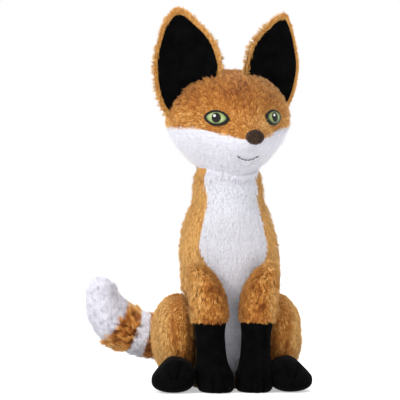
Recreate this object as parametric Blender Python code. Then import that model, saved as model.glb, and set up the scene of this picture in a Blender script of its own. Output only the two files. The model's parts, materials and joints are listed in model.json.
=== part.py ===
# A seated plush fox: sewn covers, the filling inside them, and the pieces of the face.
# It looks along -Y and sits on Z = 0. Left and right are the fox's own, so left is +X.
# Every cover is an open panel with a thickness, and every filling is a closed solid inside it.

import math

import bpy
import numpy as np

# Fabric, in metres like every size below
COVER = 0.0020          # long-pile plush, backing and packed pile
VELOUR = 0.0014         # short-pile velour
SEAM_GAP = 0.0005       # between the edges of two panels
CHEEK_GAP = 0.0018      # the same round the muzzle, whose bend brings the inner edges together
FILL_GAP = 0.0009       # between a cover and its filling
HEAD_FILL_GAP = 0.0020  # the same in the head, where the cheek seam turns down steeply
MOVE_GAP = 0.0008       # between two pieces that move on each other
RIM_GAP = 0.0012        # the same between the neck and the rims round it
TOUCH_GAP = 0.0001      # between a round piece and the cover it is sewn to

# Torso
TORSO_HEIGHT = 0.180    # floor to the rim round the neck
HIP_HALF_WIDTH = 0.0335
BELLY_HALF_WIDTH = 0.0420
CHEST_DEPTH = 0.0360    # centre line to the front of the chest
LAP_DEPTH = 0.0260      # centre line to the front between the forelegs
BACK_DEPTH = 0.0440
HIP_FADE = 0.030        # height over which the hip widens into the belly
CHEST_FADE = 0.024      # height over which the lap swells into the chest
NECK_FADE = 0.030       # height over which the chest narrows to the neck

# Neck, a ball of packed filling in a short sleeve
NECK_RADIUS = 0.0255
NECK_BACK = 0.0020      # how far the neck stands behind the centre line
NECK_RISE = 0.0040      # from the torso's rim up to the ball's centre
HEAD_LIFT = 0.0060      # from the ball's centre up to the head's rim
SLEEVE_TUCK = 0.0060    # how far the neck's sleeve runs on under each rim

# Head
HEAD_HALF_WIDTH = 0.0525
HEAD_FRONT = 0.0490
HEAD_BACK = 0.0480
HEAD_UP = 0.0430        # from the widest line to the crown
HEAD_DOWN = 0.0500
HEAD_RIM_FADE = 0.010   # height over which the head narrows to its rim
JAW_NARROWING_SHARE = 0.20           # of the head's width, lost from the widest line down to the rim
HEAD_RIM_ANGLE = math.radians(24.0)  # where the rim cuts the head, up from its lowest point
HEAD_TURN = math.radians(12.0)  # how far it looks to its left at rest
MUZZLE_LENGTH = 0.0240
MUZZLE_HALF_WIDTH = 0.0200
MUZZLE_HALF_HEIGHT = 0.0190
MUZZLE_DROP = 0.0175    # below the head's widest line
MUZZLE_SLOPE = 1.0      # 1 would make the muzzle a plain bell, less spreads its foot
CHEEK_DROP = 0.0050     # the white cheeks' upper edge below the widest line
LIP_DROP = 0.0165       # the same edge at the muzzle's tip
CHEEK_TURN = math.radians(55.0)      # from the front to where the cheek's edge is level
CHEEK_END = math.radians(102.0)       # to where that edge turns down behind the cheek
FACE_END = math.radians(142.0)        # to where it meets the rim
FACE_TIP = math.radians(6.0)         # cut off the face panel's thin ends
EYE_POINT = 1.25        # 1 would make a plain oval, more draws out its corners

# Face pieces
EYE_SPREAD = 0.0250     # centre line to an eye's middle
EYE_RISE = 0.0020       # above the head's widest line
EYE_WIDTH = 0.0165
EYE_HEIGHT = 0.0130
EYE_THICKNESS = 0.0010
NOSE_HALF_WIDTH = 0.0082
NOSE_HALF_HEIGHT = 0.0064
NOSE_HALF_DEPTH = 0.0060
NOSE_RISE = 0.0035      # above the muzzle's middle
FACE_GAP = 0.0005       # between a face piece and the cover below it

# Ears
EAR_WIDTH = 0.0580
EAR_HEIGHT = 0.0925
EAR_OUTER_X = 0.0550    # outer end of the seam on the head, from the centre line
EAR_INNER_X = 0.0095
EAR_OUTER_RISE = 0.008  # the seam's outer end above the head's widest line
EAR_INNER_RISE = 0.043
EAR_INNER_FORWARD = 0.016
EAR_LEAN = math.radians(5.0)
EAR_CUP = 0.0050        # how far the ear's edges come forward
EAR_BACK_THICKNESS = 0.0034
EAR_SEAM_SHARE = (0.08, 0.21)        # the seam's middle, across and up the ear
EAR_RIM = 0.0045        # orange edge left round the black lining
EAR_HEAD_GAP = 0.0009

# Forelegs
SHOULDER_HEIGHT = 0.110
SLEEVE_RADIUS = 0.0152
SLEEVE_GAP = 0.0144     # between the two sleeves
CUFF_HEIGHT = 0.0580    # lower edge of the orange sleeve
CUFF_FADE = 0.0120      # height over which the ankle widens, below and above the cuff
FOREPAW_HALF_WIDTH = 0.0155
FOREPAW_GAP = 0.0020    # between the two forepaws
FOREPAW_FRONT = 0.0290  # from the leg's line to the toes
FOREPAW_HEEL = 0.0150
FOREPAW_HEIGHT = 0.0340
LEG_SLANT = 0.0100      # how far the leg's foot stands in front of its shoulder
SHOULDER_SLOPE_SHARE = 0.50          # fall of the sleeve's top towards the bib, per length across it

# Hind legs
HAUNCH_THICKNESS = 0.0290
HAUNCH_HALF_HEIGHT = 0.0410
HAUNCH_HALF_DEPTH = 0.0380
HAUNCH_BACK = 0.0120    # haunch centre behind the centre line
HAUNCH_FLOOR_GAP = 0.0005
HAUNCH_SQUARENESS = 4.0  # 2 would make its outer side a plain dome
HAUNCH_ROUNDING_SHARE = 0.22         # of its thickness, rounded off at the inner side
HAUNCH_NARROWING_SHARE = 0.10        # of its radius, lost there
HAUNCH_TUCK_SHARE = 0.24             # of its thickness, how far its outer side comes in at the foot
PAW_SQUARENESS = 0.85   # 1 would make a paw's rings plain ovals
TOE_SQUARENESS = 2.4    # 2 would make the toes' end a plain half oval
TOE_SINK_SHARE = 0.25   # of the height, how far the toes' end stands above the floor
TOE_SHARE = 0.30        # of a hind paw's length, rounded off at the toes
HEEL_SHARE = 0.28       # of the haunch's half depth, where the heel starts inside it
HIND_PAW_HALF_WIDTH = 0.0170
HIND_PAW_HEIGHT = 0.0300
HIND_PAW_SLOPE_SHARE = 0.30          # of its height, how much lower its outer side is
HIND_PAW_TOE = 0.0740   # toes in front of the centre line
PAW_GAP = 0.0014        # between a forepaw and the hind paw beside it

# Tail
TAIL_ROOT_RADIUS = 0.0120
TAIL_RADIUS = 0.0148
TAIL_ROOT_HEIGHT = 0.0380
TAIL_ROOT_SIDE = 0.0040  # how far the root stands to the fox's right
TAIL_REACH = 0.0950     # root to the outermost bend
TAIL_RISE = 0.0420      # root to the tip's centre
TAIL_CAP_SHARES = (0.08, 0.16)       # of the tail's length, the domes at its root and its tip
TAIL_TIP_SHARE = 1.25   # of the tip's radius, how long its dome is
TAIL_LANE_GAP = 0.0030  # between the tail and the back of the haunch
TAIL_SEAM_GAP = 0.0032  # between two bands, which the tail's bend brings together inside

# Outlines as shares of the sizes above
# height, then the half width above the hips, the chest's depth and the back's depth
TORSO_SHARES = (
    (0.00, 0.86, 0.80, 0.86),
    (0.02, 0.94, 0.90, 0.94),
    (0.07, 0.99, 0.98, 0.99),
    (0.20, 1.00, 1.00, 1.00),
    (0.40, 1.00, 1.00, 1.00),
    (0.56, 1.00, 1.00, 0.96),
    (0.66, 0.985, 1.00, 0.90),
    (0.75, 0.945, 1.00, 0.84),
    (0.85, 0.82, 0.96, 0.78),
    (0.93, 0.71, 0.86, 0.72),
    (1.00, 0.69, 0.80, 0.69),
)
# height on the torso, then the bib's half width as a share of the half turn
BIB_SHARES = (
    (0.00, 0.010),
    (0.10, 0.012),
    (0.22, 0.030),
    (0.45, 0.052),
    (0.53, 0.080),
    (0.60, 0.190),
    (0.66, 0.250),
    (0.78, 0.262),
    (0.93, 0.266),
    (1.00, 0.300),
)
# across and along the ear, from its lower outer edge round over the tip
EAR_OUTLINE_SHARES = (
    (-0.33, 0.00),
    (-0.44, 0.17),
    (-0.50, 0.45),
    (-0.45, 0.69),
    (-0.37, 0.86),
    (-0.23, 0.985),
    (-0.09, 0.98),
    (0.10, 0.88),
    (0.29, 0.76),
    (0.42, 0.62),
    (0.50, 0.42),
    (0.42, 0.24),
    (0.20, 0.08),
    (-0.05, -0.03),
    (-0.21, -0.05),
)
# height, half width, reach forward and reach backward of the leg below the cuff
FOREPAW_SHARES = (
    (0.00, 0.84, 0.86, 0.74),
    (0.10, 0.96, 0.97, 0.90),
    (0.35, 1.00, 1.00, 1.00),
    (0.62, 0.98, 0.86, 0.96),
    (0.85, 0.90, 0.60, 0.90),
    (1.00, 0.86, 0.47, 0.88),
)
# length from the heel, half width, and height of a hind paw
HIND_PAW_SHARES = (
    (0.00, 0.34, 0.40),
    (0.07, 0.58, 0.68),
    (0.16, 0.74, 0.88),
    (0.28, 0.84, 0.96),
    (0.50, 0.95, 1.00),
    (0.72, 1.00, 0.97),
    (1.00, 0.98, 0.86),
)
# reach outward, place in the lane behind the haunch, rise and radius along the tail
TAIL_SHARES = (
    (0.00, 0.00, 0.00, 0.80),
    (0.24, 0.70, 0.00, 0.92),
    (0.50, 1.00, 0.06, 0.98),
    (0.75, 0.95, 0.22, 1.00),
    (0.92, 0.80, 0.48, 0.97),
    (1.00, 0.62, 0.78, 0.84),
    (1.01, 0.55, 1.00, 0.64),
)
# where the tail's colour bands end, along its length
TAIL_BAND_SHARES = (0.0, 0.39, 0.47, 0.59, 1.0)

# heights of the torso's rows, and the one where the bib begins
TORSO_ROW_SHARES = (
    0.0, 0.03, 0.10, 0.20, 0.32, 0.42, 0.47, 0.51, 0.55, 0.60, 0.66, 0.73, 0.80, 0.86, 0.93, 1.0,
)
BIB_START_SHARE = 0.10
# the first rows of a hind paw, round its heel
HEEL_ROW_SHARES = (0.0, 0.07, 0.16)

# Faces round and along the surfaces
TORSO_COLUMNS = 22
BIB_COLUMNS = 6
HEAD_COLUMNS = 28
HEAD_ROWS = 8
FACE_ROWS = 7
CROWDING = 1.35         # how the head's rows crowd to the seam, 1 would space them evenly
NAPE_SHARE = 0.05       # where the filling's rows begin at the back, above the rim
HEAD_CROWD_SHARE = 0.30  # how far the head's columns crowd towards the face
EAR_STEPS = (26, 2)
EYE_STEPS = (18, 2)
NOSE_STEPS = (12, 6)
NECK_STEPS = (16, 3)
BALL_STEPS = (16, 8)
LEG_COLUMNS = 14
SLEEVE_ROWS = 5
PAW_ROWS = 8
HAUNCH_STEPS = (18, 5)
HIND_PAW_STEPS = (14, 6)
TAIL_COLUMNS = 12
TAIL_BAND_ROWS = (5, 2, 2, 3)
TAIL_CAP_ROWS = 4
POLE_SHARE = 0.03       # how near a surface's last ring comes to its pole
NUDGE = 0.0001          # the step in u and v over which a surface's slope is taken
CREASE_ANGLE = math.radians(40.0)    # edges that bend more than this are shaded sharp

# Places worked out from the sizes
NECK_CENTRE = np.array([0.0, NECK_BACK, TORSO_HEIGHT + NECK_RISE])
HEAD_MIDDLE = HEAD_LIFT + HEAD_DOWN * math.cos(HEAD_RIM_ANGLE)
SLEEVE_X = SLEEVE_GAP / 2 + SLEEVE_RADIUS
FOREPAW_X = FOREPAW_GAP / 2 + FOREPAW_HALF_WIDTH
SHOULDER_TOP = SHOULDER_HEIGHT + SLEEVE_RADIUS + MOVE_GAP
HAUNCH_HEIGHT = HAUNCH_HALF_HEIGHT + HAUNCH_FLOOR_GAP
HAUNCH_TOP = HAUNCH_HEIGHT + HAUNCH_HALF_HEIGHT + MOVE_GAP
HAUNCH_INNER_X = HIP_HALF_WIDTH + MOVE_GAP
HAUNCH_X = HAUNCH_INNER_X + HAUNCH_THICKNESS / 2
HIND_PAW_X = FOREPAW_X + FOREPAW_HALF_WIDTH + PAW_GAP + HIND_PAW_HALF_WIDTH
FULL_TURN = 2 * math.pi


# Curves

def ease(value, start, end):
    # 0 before start, 1 after end, and a smooth step between
    share = np.clip((np.asarray(value, float) - start) / (end - start), 0.0, 1.0)
    return share * share * (3.0 - 2.0 * share)


def smooth_through(table, at):
    # a cubic through the rows of a table, whose first column is the position
    rows = np.asarray(table, float)
    place = rows[:, 0]
    slope = np.gradient(rows[:, 1:], place, axis=0)
    at = np.clip(np.asarray(at, float), place[0], place[-1])
    left = np.clip(np.searchsorted(place, at, side="right") - 1, 0, len(place) - 2)
    width = (place[left + 1] - place[left])[..., None]
    t = (at - place[left])[..., None] / width
    first = (1 + 2 * t) * (1 - t) ** 2 * rows[left, 1:] + t * (1 - t) ** 2 * width * slope[left]
    second = t ** 2 * (3 - 2 * t) * rows[left + 1, 1:] + t ** 2 * (t - 1) * width * slope[left + 1]
    return first + second


def closed_curve(points, count):
    # a smooth loop of count points through an outline's own points
    points = np.asarray(points, float)
    step = np.arange(count) * len(points) / count
    left = np.floor(step).astype(int)
    t = (step - left)[:, None]
    before, start, end, after = (points[(left + k) % len(points)] for k in (-1, 0, 1, 2))
    bend = 2 * start + t * (end - before) + t ** 2 * (2 * before - 5 * start + 4 * end - after)
    return 0.5 * (bend + t ** 3 * (3 * start - before - 3 * end + after))


def mix(first, second, share):
    return first + (second - first) * share


def oval(u, half_width, front, back):
    # a ring in X and Y: u = 0 is its front, and its front and back halves differ
    depth = np.where(np.cos(u) > 0.0, front, back)
    return half_width * np.sin(u), -depth * np.cos(u)


def join(*parts):
    return np.stack(np.broadcast_arrays(*parts), axis=-1)


def inset_points(form, u, v, inset):
    # points of a surface, moved inward along its own normal
    points = form(u, v)
    along_u = form(u + NUDGE, v) - form(u - NUDGE, v)
    along_v = form(u, np.minimum(v + NUDGE, 1.0)) - form(u, np.maximum(v - NUDGE, 0.0))
    normal = np.cross(along_u, along_v)
    normal /= np.linalg.norm(normal, axis=-1, keepdims=True)
    return points - inset * normal


# Surfaces: each gives the points at u, round it, and v, along it from 0 to 1

def neck_ring(offset):
    # outer radius of a cover whose inner side clears the neck, at this distance from its centre
    return math.sqrt(NECK_RADIUS ** 2 - offset ** 2) + RIM_GAP + COVER


def torso_form(u, v):
    # rings stacked from the seat to the rim round the neck
    height = TORSO_HEIGHT * v
    shares = smooth_through(TORSO_SHARES, v)
    widen = ease(height, HAUNCH_TOP, HAUNCH_TOP + HIP_FADE)
    swell = ease(height, SHOULDER_TOP, SHOULDER_TOP + CHEST_FADE)
    narrow = ease(height, TORSO_HEIGHT - NECK_FADE, TORSO_HEIGHT)
    rim = neck_ring(NECK_RISE)
    half_width = shares[..., 0] * mix(HIP_HALF_WIDTH, BELLY_HALF_WIDTH, widen)
    front = shares[..., 1] * mix(LAP_DEPTH, CHEST_DEPTH, swell)
    back = shares[..., 2] * BACK_DEPTH
    x, y = oval(u, mix(half_width, rim, narrow), mix(front, rim, narrow), mix(back, rim, narrow))
    return join(x, y + NECK_BACK * narrow, height)


def neck_form(u, v):
    # a ball about its own centre
    angle = math.pi * v
    x, y = oval(u, NECK_RADIUS * np.sin(angle), NECK_RADIUS * np.sin(angle), NECK_RADIUS * np.sin(angle))
    return join(x, y, -NECK_RADIUS * np.cos(angle))


def head_half_width(drop):
    # at a distance below the widest line
    return HEAD_HALF_WIDTH * (1.0 - JAW_NARROWING_SHARE * ease(drop, 0.0, HEAD_DOWN))


def head_form(u, v):
    # an ovoid from its rim to the crown, about the neck's centre, with the muzzle pushed forward
    angle = mix(HEAD_RIM_ANGLE, math.pi, v)
    drop = np.cos(angle) * np.where(np.cos(angle) > 0.0, HEAD_DOWN, HEAD_UP)
    open_out = ease(HEAD_DOWN * math.cos(HEAD_RIM_ANGLE) - drop, 0.0, HEAD_RIM_FADE)
    rim = neck_ring(HEAD_LIFT)
    sizes = (head_half_width(drop), HEAD_FRONT, HEAD_BACK)
    x, y = oval(u, *(mix(rim, size * np.sin(angle), open_out) for size in sizes))
    spread = (x / MUZZLE_HALF_WIDTH) ** 2 + ((drop - MUZZLE_DROP) / MUZZLE_HALF_HEIGHT) ** 2
    bump = np.where(np.cos(u) > 0.0, np.exp(-spread ** MUZZLE_SLOPE), 0.0) * open_out
    return join(x, y - MUZZLE_LENGTH * bump, HEAD_MIDDLE - drop)


def head_place(x, drop):
    # u and v of the place on the head's front that is x across and drop below its widest line
    angle = np.arccos(drop / np.where(drop > 0.0, HEAD_DOWN, HEAD_UP))
    turn = np.arcsin(np.clip(x / (head_half_width(drop) * np.sin(angle)), -1.0, 1.0))
    return turn, (angle - HEAD_RIM_ANGLE) / (math.pi - HEAD_RIM_ANGLE)


def cheek_line(u):
    # v of the edge between the orange cover and the white face, for each direction u
    turn = np.abs(u)
    drop = mix(LIP_DROP, CHEEK_DROP, ease(turn, 0.0, CHEEK_TURN))
    return head_place(0.0, drop)[1] * (1.0 - ease(turn, CHEEK_END, FACE_END))


def cheek_gap(u):
    # half the seam's gap as a step in v, more where the edge is steep; none where it follows the rim
    length = HEAD_DOWN * (math.pi - HEAD_RIM_ANGLE)
    edge = head_form(u, cheek_line(u))
    radius = np.hypot(edge[..., 0], edge[..., 1])
    steep = (cheek_line(u + NUDGE) - cheek_line(u - NUDGE)) / (2 * NUDGE) * length / radius
    return np.where(cheek_line(u) > 0.0, CHEEK_GAP / 2 / length * np.sqrt(1.0 + steep ** 2), 0.0)


def foreleg_form(u, v):
    # rings from the sole to the shoulder's dome, about the shoulder, slanting inward and forward;
    # the sleeve's top slopes down to the bib beside it
    height = (SHOULDER_HEIGHT + SLEEVE_RADIUS) * np.sin(v * math.pi / 2)
    shares = smooth_through(FOREPAW_SHARES, height / FOREPAW_HEIGHT)
    up = ease(height, CUFF_HEIGHT - CUFF_FADE, CUFF_HEIGHT + CUFF_FADE)
    over = np.clip((height - SHOULDER_HEIGHT) / SLEEVE_RADIUS, 0.0, 1.0)
    sleeve = SLEEVE_RADIUS * np.sqrt(1.0 - over ** 2)
    x, y = oval(
        u,
        mix(shares[..., 0] * FOREPAW_HALF_WIDTH, sleeve, up),
        mix(shares[..., 1] * FOREPAW_FRONT, sleeve, up),
        mix(shares[..., 2] * FOREPAW_HEEL, sleeve, up),
    )
    down = np.clip(1.0 - height / SHOULDER_HEIGHT, 0.0, 1.0)
    slope = SHOULDER_SLOPE_SHARE * ease(height, CUFF_HEIGHT, SHOULDER_HEIGHT + SLEEVE_RADIUS)
    height = height - slope * (SLEEVE_RADIUS - x)
    return join(x - (SLEEVE_X - FOREPAW_X) * down, y - LEG_SLANT * down, height - SHOULDER_HEIGHT)


def haunch_form(u, v):
    # rings about the hip's axis, from the flat inner side to the domed outer one
    radius = (1.0 - v ** HAUNCH_SQUARENESS) ** (1.0 / HAUNCH_SQUARENESS)
    radius = radius * mix(1.0 - HAUNCH_NARROWING_SHARE, 1.0, ease(v, 0.0, HAUNCH_ROUNDING_SHARE))
    tuck = HAUNCH_TUCK_SHARE * v * ease(-radius * np.sin(u), 0.0, 1.0)
    x = HAUNCH_THICKNESS * (v - 0.5 - tuck)
    return join(x, HAUNCH_HALF_DEPTH * radius * np.cos(u), HAUNCH_HALF_HEIGHT * radius * np.sin(u))


def hind_paw_form(u, v):
    # rings from the heel, inside the haunch's outline, to the toes, about the hip
    shares = smooth_through(HIND_PAW_SHARES, v)
    toes = np.clip((v - 1.0 + TOE_SHARE) / TOE_SHARE, 0.0, 1.0)
    shares = shares * (1.0 - toes ** TOE_SQUARENESS)[..., None] ** (1.0 / TOE_SQUARENESS)
    half_height = HIND_PAW_HEIGHT / 2 * shares[..., 1]
    side = -np.sign(np.sin(u)) * np.abs(np.sin(u)) ** PAW_SQUARENESS
    rise = np.sign(np.cos(u)) * np.abs(np.cos(u)) ** PAW_SQUARENESS
    rise = (1.0 + rise) * (1.0 - HIND_PAW_SLOPE_SHARE * ease(side, 0.0, 1.0))
    heel = -HAUNCH_HALF_DEPTH * HEEL_SHARE
    toe = -(HIND_PAW_TOE + HAUNCH_BACK)
    x = HIND_PAW_X - HAUNCH_X + HIND_PAW_HALF_WIDTH * shares[..., 0] * side
    tuck = TOE_SINK_SHARE * HIND_PAW_HEIGHT * (1.0 - half_height * 2 / HIND_PAW_HEIGHT) * toes
    return join(x, mix(heel, toe, v), half_height * rise + tuck - HAUNCH_HEIGHT)


def tail_line():
    # the tail's middle line about its root, and its radius, as a table along v
    shares = np.asarray(TAIL_SHARES)
    lane = HAUNCH_BACK + HAUNCH_HALF_DEPTH + TAIL_LANE_GAP + TAIL_RADIUS
    line = shares * (-TAIL_REACH, lane - tail_root()[1], TAIL_RISE, TAIL_RADIUS)
    line[0, 3] = TAIL_ROOT_RADIUS
    return np.column_stack([np.linspace(0.0, 1.0, len(line)), line])


def tail_form(u, v):
    # a round tube along the middle line, with a dome at its root and one at its tip
    line = tail_line()
    root_cap, tip_cap = TAIL_CAP_SHARES
    along = np.clip((v - root_cap) / (1.0 - root_cap - tip_cap), 0.0, 1.0)
    middle = smooth_through(line, along)
    span = 1.0 / len(line)
    ahead = smooth_through(line, along + span)[..., :3] - smooth_through(line, along - span)[..., :3]
    ahead /= np.linalg.norm(ahead, axis=-1, keepdims=True)
    before = np.clip(1.0 - v / root_cap, 0.0, 1.0) * math.pi / 2
    beyond = np.clip((v - 1.0 + tip_cap) / tip_cap, 0.0, 1.0) * math.pi / 2
    push = (TAIL_TIP_SHARE * np.sin(beyond) - np.sin(before)) * middle[..., 3]
    radius = middle[..., 3] * np.cos(beyond) * np.cos(before)
    side = np.cross(ahead, (0.0, 1.0, 0.0))
    side /= np.linalg.norm(side, axis=-1, keepdims=True)
    up = np.cross(side, ahead)
    ring = np.cos(u)[..., None] * up + np.sin(u)[..., None] * side
    return middle[..., :3] + push[..., None] * ahead + radius[..., None] * ring


# Places that depend on the surfaces

def front_clearance(x, height, radius):
    # the greatest Y at which a dome of this radius, with its leg below it, clears the torso
    u, v = np.meshgrid(np.linspace(-math.pi / 2, math.pi / 2, 61), np.linspace(0.0, 1.0, 121))
    torso = torso_form(u, v)
    reach = radius ** 2 - (torso[..., 0] - x) ** 2 - np.maximum(torso[..., 2] - height, 0.0) ** 2
    return (torso[..., 1] - np.sqrt(np.maximum(reach, 0.0)))[reach > 0.0].min()


def back_clearance(x, height, radius):
    # the least Y at which a ball of this radius clears the torso's back
    u, v = np.meshgrid(np.linspace(math.pi / 2, 3 * math.pi / 2, 61), np.linspace(0.0, 1.0, 121))
    torso = torso_form(u, v)
    reach = radius ** 2 - (torso[..., 0] - x) ** 2 - (torso[..., 2] - height) ** 2
    return (torso[..., 1] + np.sqrt(np.maximum(reach, 0.0)))[reach > 0.0].max()


def tail_root():
    back = back_clearance(-TAIL_ROOT_SIDE, TAIL_ROOT_HEIGHT, TAIL_ROOT_RADIUS + TOUCH_GAP)
    return np.array([-TAIL_ROOT_SIDE, back, TAIL_ROOT_HEIGHT])


def shoulder(side):
    return np.array([
        side * SLEEVE_X,
        front_clearance(SLEEVE_X, SHOULDER_HEIGHT, SLEEVE_RADIUS + TOUCH_GAP),
        SHOULDER_HEIGHT,
    ])


def hip(side):
    return np.array([side * HAUNCH_X, HAUNCH_BACK, HAUNCH_HEIGHT])


def ear_seam(side):
    # the outer and the inner end of an ear's seam, about the neck's centre
    outer = np.array([side * EAR_OUTER_X, 0.0, HEAD_MIDDLE + EAR_OUTER_RISE])
    inner = np.array([side * EAR_INNER_X, -EAR_INNER_FORWARD, HEAD_MIDDLE + EAR_INNER_RISE])
    return outer, inner


def ear_frame():
    # directions of a right ear: from its outer to its inner side, backward, and up along it
    outer, inner = ear_seam(-1)
    across = (inner - outer) * (1.0, 1.0, 0.0)
    across /= np.linalg.norm(across)
    up = np.array([0.0, -math.sin(EAR_LEAN), math.cos(EAR_LEAN)])
    return across, np.cross(up, across), up


# Grids of points, as rows along v by columns along u

def torso_panel(edges, rows, columns):
    # a torso panel between two edges, each given as u for every row
    across = np.linspace(0.0, 1.0, columns + 1)[None, :]
    first, last = (edge[:, None] for edge in edges)
    return torso_form(mix(first, last, across), rows[:, None] + 0.0 * across)


def head_grid():
    # u and v all over the head; its first rows are the face's and the rest are the orange cover's
    turn = np.linspace(-math.pi, math.pi, HEAD_COLUMNS, endpoint=False)
    u = turn - HEAD_CROWD_SHARE * np.sin(turn)
    below = np.linspace(1.0, 0.0, FACE_ROWS + 1)[:, None] ** CROWDING
    above = np.linspace(0.0, 1.0, HEAD_ROWS + 1)[:, None] ** CROWDING
    face = (cheek_line(u) - cheek_gap(u)) * (1.0 - below)
    cover = mix(cheek_line(u) + cheek_gap(u), 1.0 - POLE_SHARE, above)
    return u, face, cover


def whole_head(inset):
    # the head's surface as one grid, moved inward, with the rows and columns of its covers
    u, face, cover = head_grid()
    edge = np.maximum(cheek_line(u), NAPE_SHARE)
    below = 1.0 - np.linspace(1.0, 0.0, FACE_ROWS + 1)[:-1, None] ** CROWDING
    above = np.linspace(0.0, 1.0, HEAD_ROWS + 1)[:, None] ** CROWDING
    v = np.vstack([edge * below, mix(edge, 1.0 - POLE_SHARE, above)])
    return inset_points(head_form, u + 0.0 * v, v, inset)


def disc_grid(outline, rings):
    # an outline drawn in towards its middle, as rings from the inmost to the outline itself
    middle = outline.mean(axis=0)
    share = np.linspace(0.0, 1.0, rings + 1)[1:, None, None]
    return middle + (outline - middle) * share


def ring_grid(columns, rows):
    # u and v of whole rings, one for each v in rows
    return np.meshgrid(np.linspace(0.0, FULL_TURN, columns, endpoint=False), rows)


def domed_rows(first, last, count):
    # v from first to last, drawn together towards v = 1
    turn = np.linspace(math.asin(first), math.asin(last), count + 1)
    return np.sin(turn)


def ear_grid(outline, forward):
    # a right ear's surface about its seam's middle, with its edges cupped forward
    flat = disc_grid(outline, EAR_STEPS[1])
    cup = EAR_CUP * (2 * flat[..., 0] / EAR_WIDTH) ** 2
    offset = np.array(EAR_SEAM_SHARE) * (EAR_WIDTH, EAR_HEIGHT)
    across, back, up = ear_frame()
    flat = flat - offset
    return flat[..., :1] * across - (cup + forward)[..., None] * back + flat[..., 1:] * up


def eye_grid():
    # an almond on the head's left front, just clear of the cover
    turn = np.linspace(0.0, FULL_TURN, EYE_STEPS[0], endpoint=False)
    height = np.sign(np.sin(turn)) * np.abs(np.sin(turn)) ** EYE_POINT
    outline = np.column_stack([-EYE_WIDTH / 2 * np.cos(turn), EYE_HEIGHT / 2 * height])
    flat = disc_grid(outline + (EYE_SPREAD, EYE_RISE), EYE_STEPS[1])
    return inset_points(head_form, *head_place(flat[..., 0], -flat[..., 1]), -FACE_GAP)


# Objects

def clear_scene():
    for item in list(bpy.data.objects):
        bpy.data.objects.remove(item, do_unlink=True)


def material(name, colour, roughness, sheen=0.0):
    made = bpy.data.materials.new(name)
    made.use_nodes = True
    shader = made.node_tree.nodes["Principled BSDF"]
    shader.inputs["Base Color"].default_value = (*colour, 1.0)
    shader.inputs["Roughness"].default_value = roughness
    shader.inputs["Sheen Weight"].default_value = sheen
    made.diffuse_color = (*colour, 1.0)
    return made


def pivot(name, place, parent=None, turn=0.0):
    empty = bpy.data.objects.new(name, None)
    bpy.context.collection.objects.link(empty)
    empty.parent = parent
    empty.location = place
    empty.rotation_euler = (0.0, 0.0, turn)
    return empty


def solid(name, grid, finish, parent=None, wrap=True, ends=(True, True), side=1):
    # a surface over a grid, with each end closed by a fan where ends says so
    rows, columns = grid.shape[:2]
    points = grid.reshape(-1, 3)
    index = np.arange(rows * columns).reshape(rows, columns)
    after = np.roll(index, -1, axis=1)
    if not wrap:
        index, after = index[:, :-1], after[:, :-1]
    faces = np.stack([index[:-1], after[:-1], after[1:], index[1:]], axis=-1).reshape(-1, 4).tolist()
    for closed, row, turn in ((ends[0], 0, 1), (ends[1], -1, -1)):
        if closed:
            middle = len(points)
            points = np.vstack([points, grid[row].mean(axis=0)])
            pairs = np.column_stack([after[row], index[row]])[:, ::turn]
            faces += [[middle, *pair] for pair in pairs.tolist()]
    if side < 0:
        points = points * (-1.0, 1.0, 1.0)
        faces = [face[::-1] for face in faces]
    mesh = bpy.data.meshes.new(name)
    mesh.from_pydata(points.tolist(), [], faces)
    mesh.shade_smooth()
    mesh.set_sharp_from_angle(angle=CREASE_ANGLE)
    made = bpy.data.objects.new(name, mesh)
    bpy.context.collection.objects.link(made)
    made.parent = parent
    if finish is not None:
        mesh.materials.append(finish)
    return made


def thicken(piece, thickness, outward=False):
    shell = piece.modifiers.new("thickness", "SOLIDIFY")
    shell.thickness = thickness
    shell.offset = 1.0 if outward else -1.0
    shell.use_even_offset = True
    return piece


def cutter(name, grid, parent=None, side=1):
    made = solid(name, grid, None, parent, side=side)
    made.hide_render = True
    made.display_type = "WIRE"
    return made


def cut(piece, tool):
    difference = piece.modifiers.new("cut", "BOOLEAN")
    difference.operation = "DIFFERENCE"
    difference.object = tool
    return piece


# Sub-parts

def make_torso(finishes, ball):
    gap = SEAM_GAP / LAP_DEPTH
    rows = np.array(TORSO_ROW_SHARES)
    upper = rows >= BIB_START_SHARE
    edge = math.pi * smooth_through(BIB_SHARES, rows)[:, 0]
    cover = torso_panel((edge + gap / 2, FULL_TURN - edge - gap / 2), rows, TORSO_COLUMNS)
    thicken(solid("torso_cover", cover, finishes["orange"], wrap=False, ends=(False, False)), COVER)
    edge = edge[upper]
    bib = torso_panel((gap / 2 - edge, edge - gap / 2), rows[upper], BIB_COLUMNS)
    thicken(solid("bib_panel", bib, finishes["white"], wrap=False, ends=(False, False)), COVER)
    inner = COVER + FILL_GAP
    rows[0] = 2 * inner / TORSO_HEIGHT
    filling = inset_points(torso_form, *ring_grid(TORSO_COLUMNS, np.sort(rows)), inner)
    cut(solid("torso_stuffing", filling, finishes["filling"]), ball)


def make_seat(finishes):
    # the flat panel under the torso, inside the torso cover's lower edge
    u = np.linspace(0.0, FULL_TURN, TORSO_COLUMNS, endpoint=False)
    rim = torso_form(u, 0.0 * u)
    outline = rim * (1.0 - (COVER + 2 * SEAM_GAP) / np.linalg.norm(rim, axis=-1, keepdims=True))
    grid = disc_grid(outline, 1)
    thicken(solid("base_panel", grid, finishes["orange"], ends=(True, False)), COVER)


def make_neck(finishes, neck):
    low = math.acos((NECK_RISE + SLEEVE_TUCK) / NECK_RADIUS) / math.pi
    high = math.acos(-(HEAD_LIFT + SLEEVE_TUCK) / NECK_RADIUS) / math.pi
    columns, count = NECK_STEPS
    sleeve = neck_form(*ring_grid(columns, np.linspace(low, high, count + 1)))
    thicken(solid("neck_cover", sleeve, finishes["orange"], neck, ends=(False, False)), COVER)
    solid("neck_stuffing", ball_grid(COVER + FILL_GAP), finishes["filling"], neck)


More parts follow.
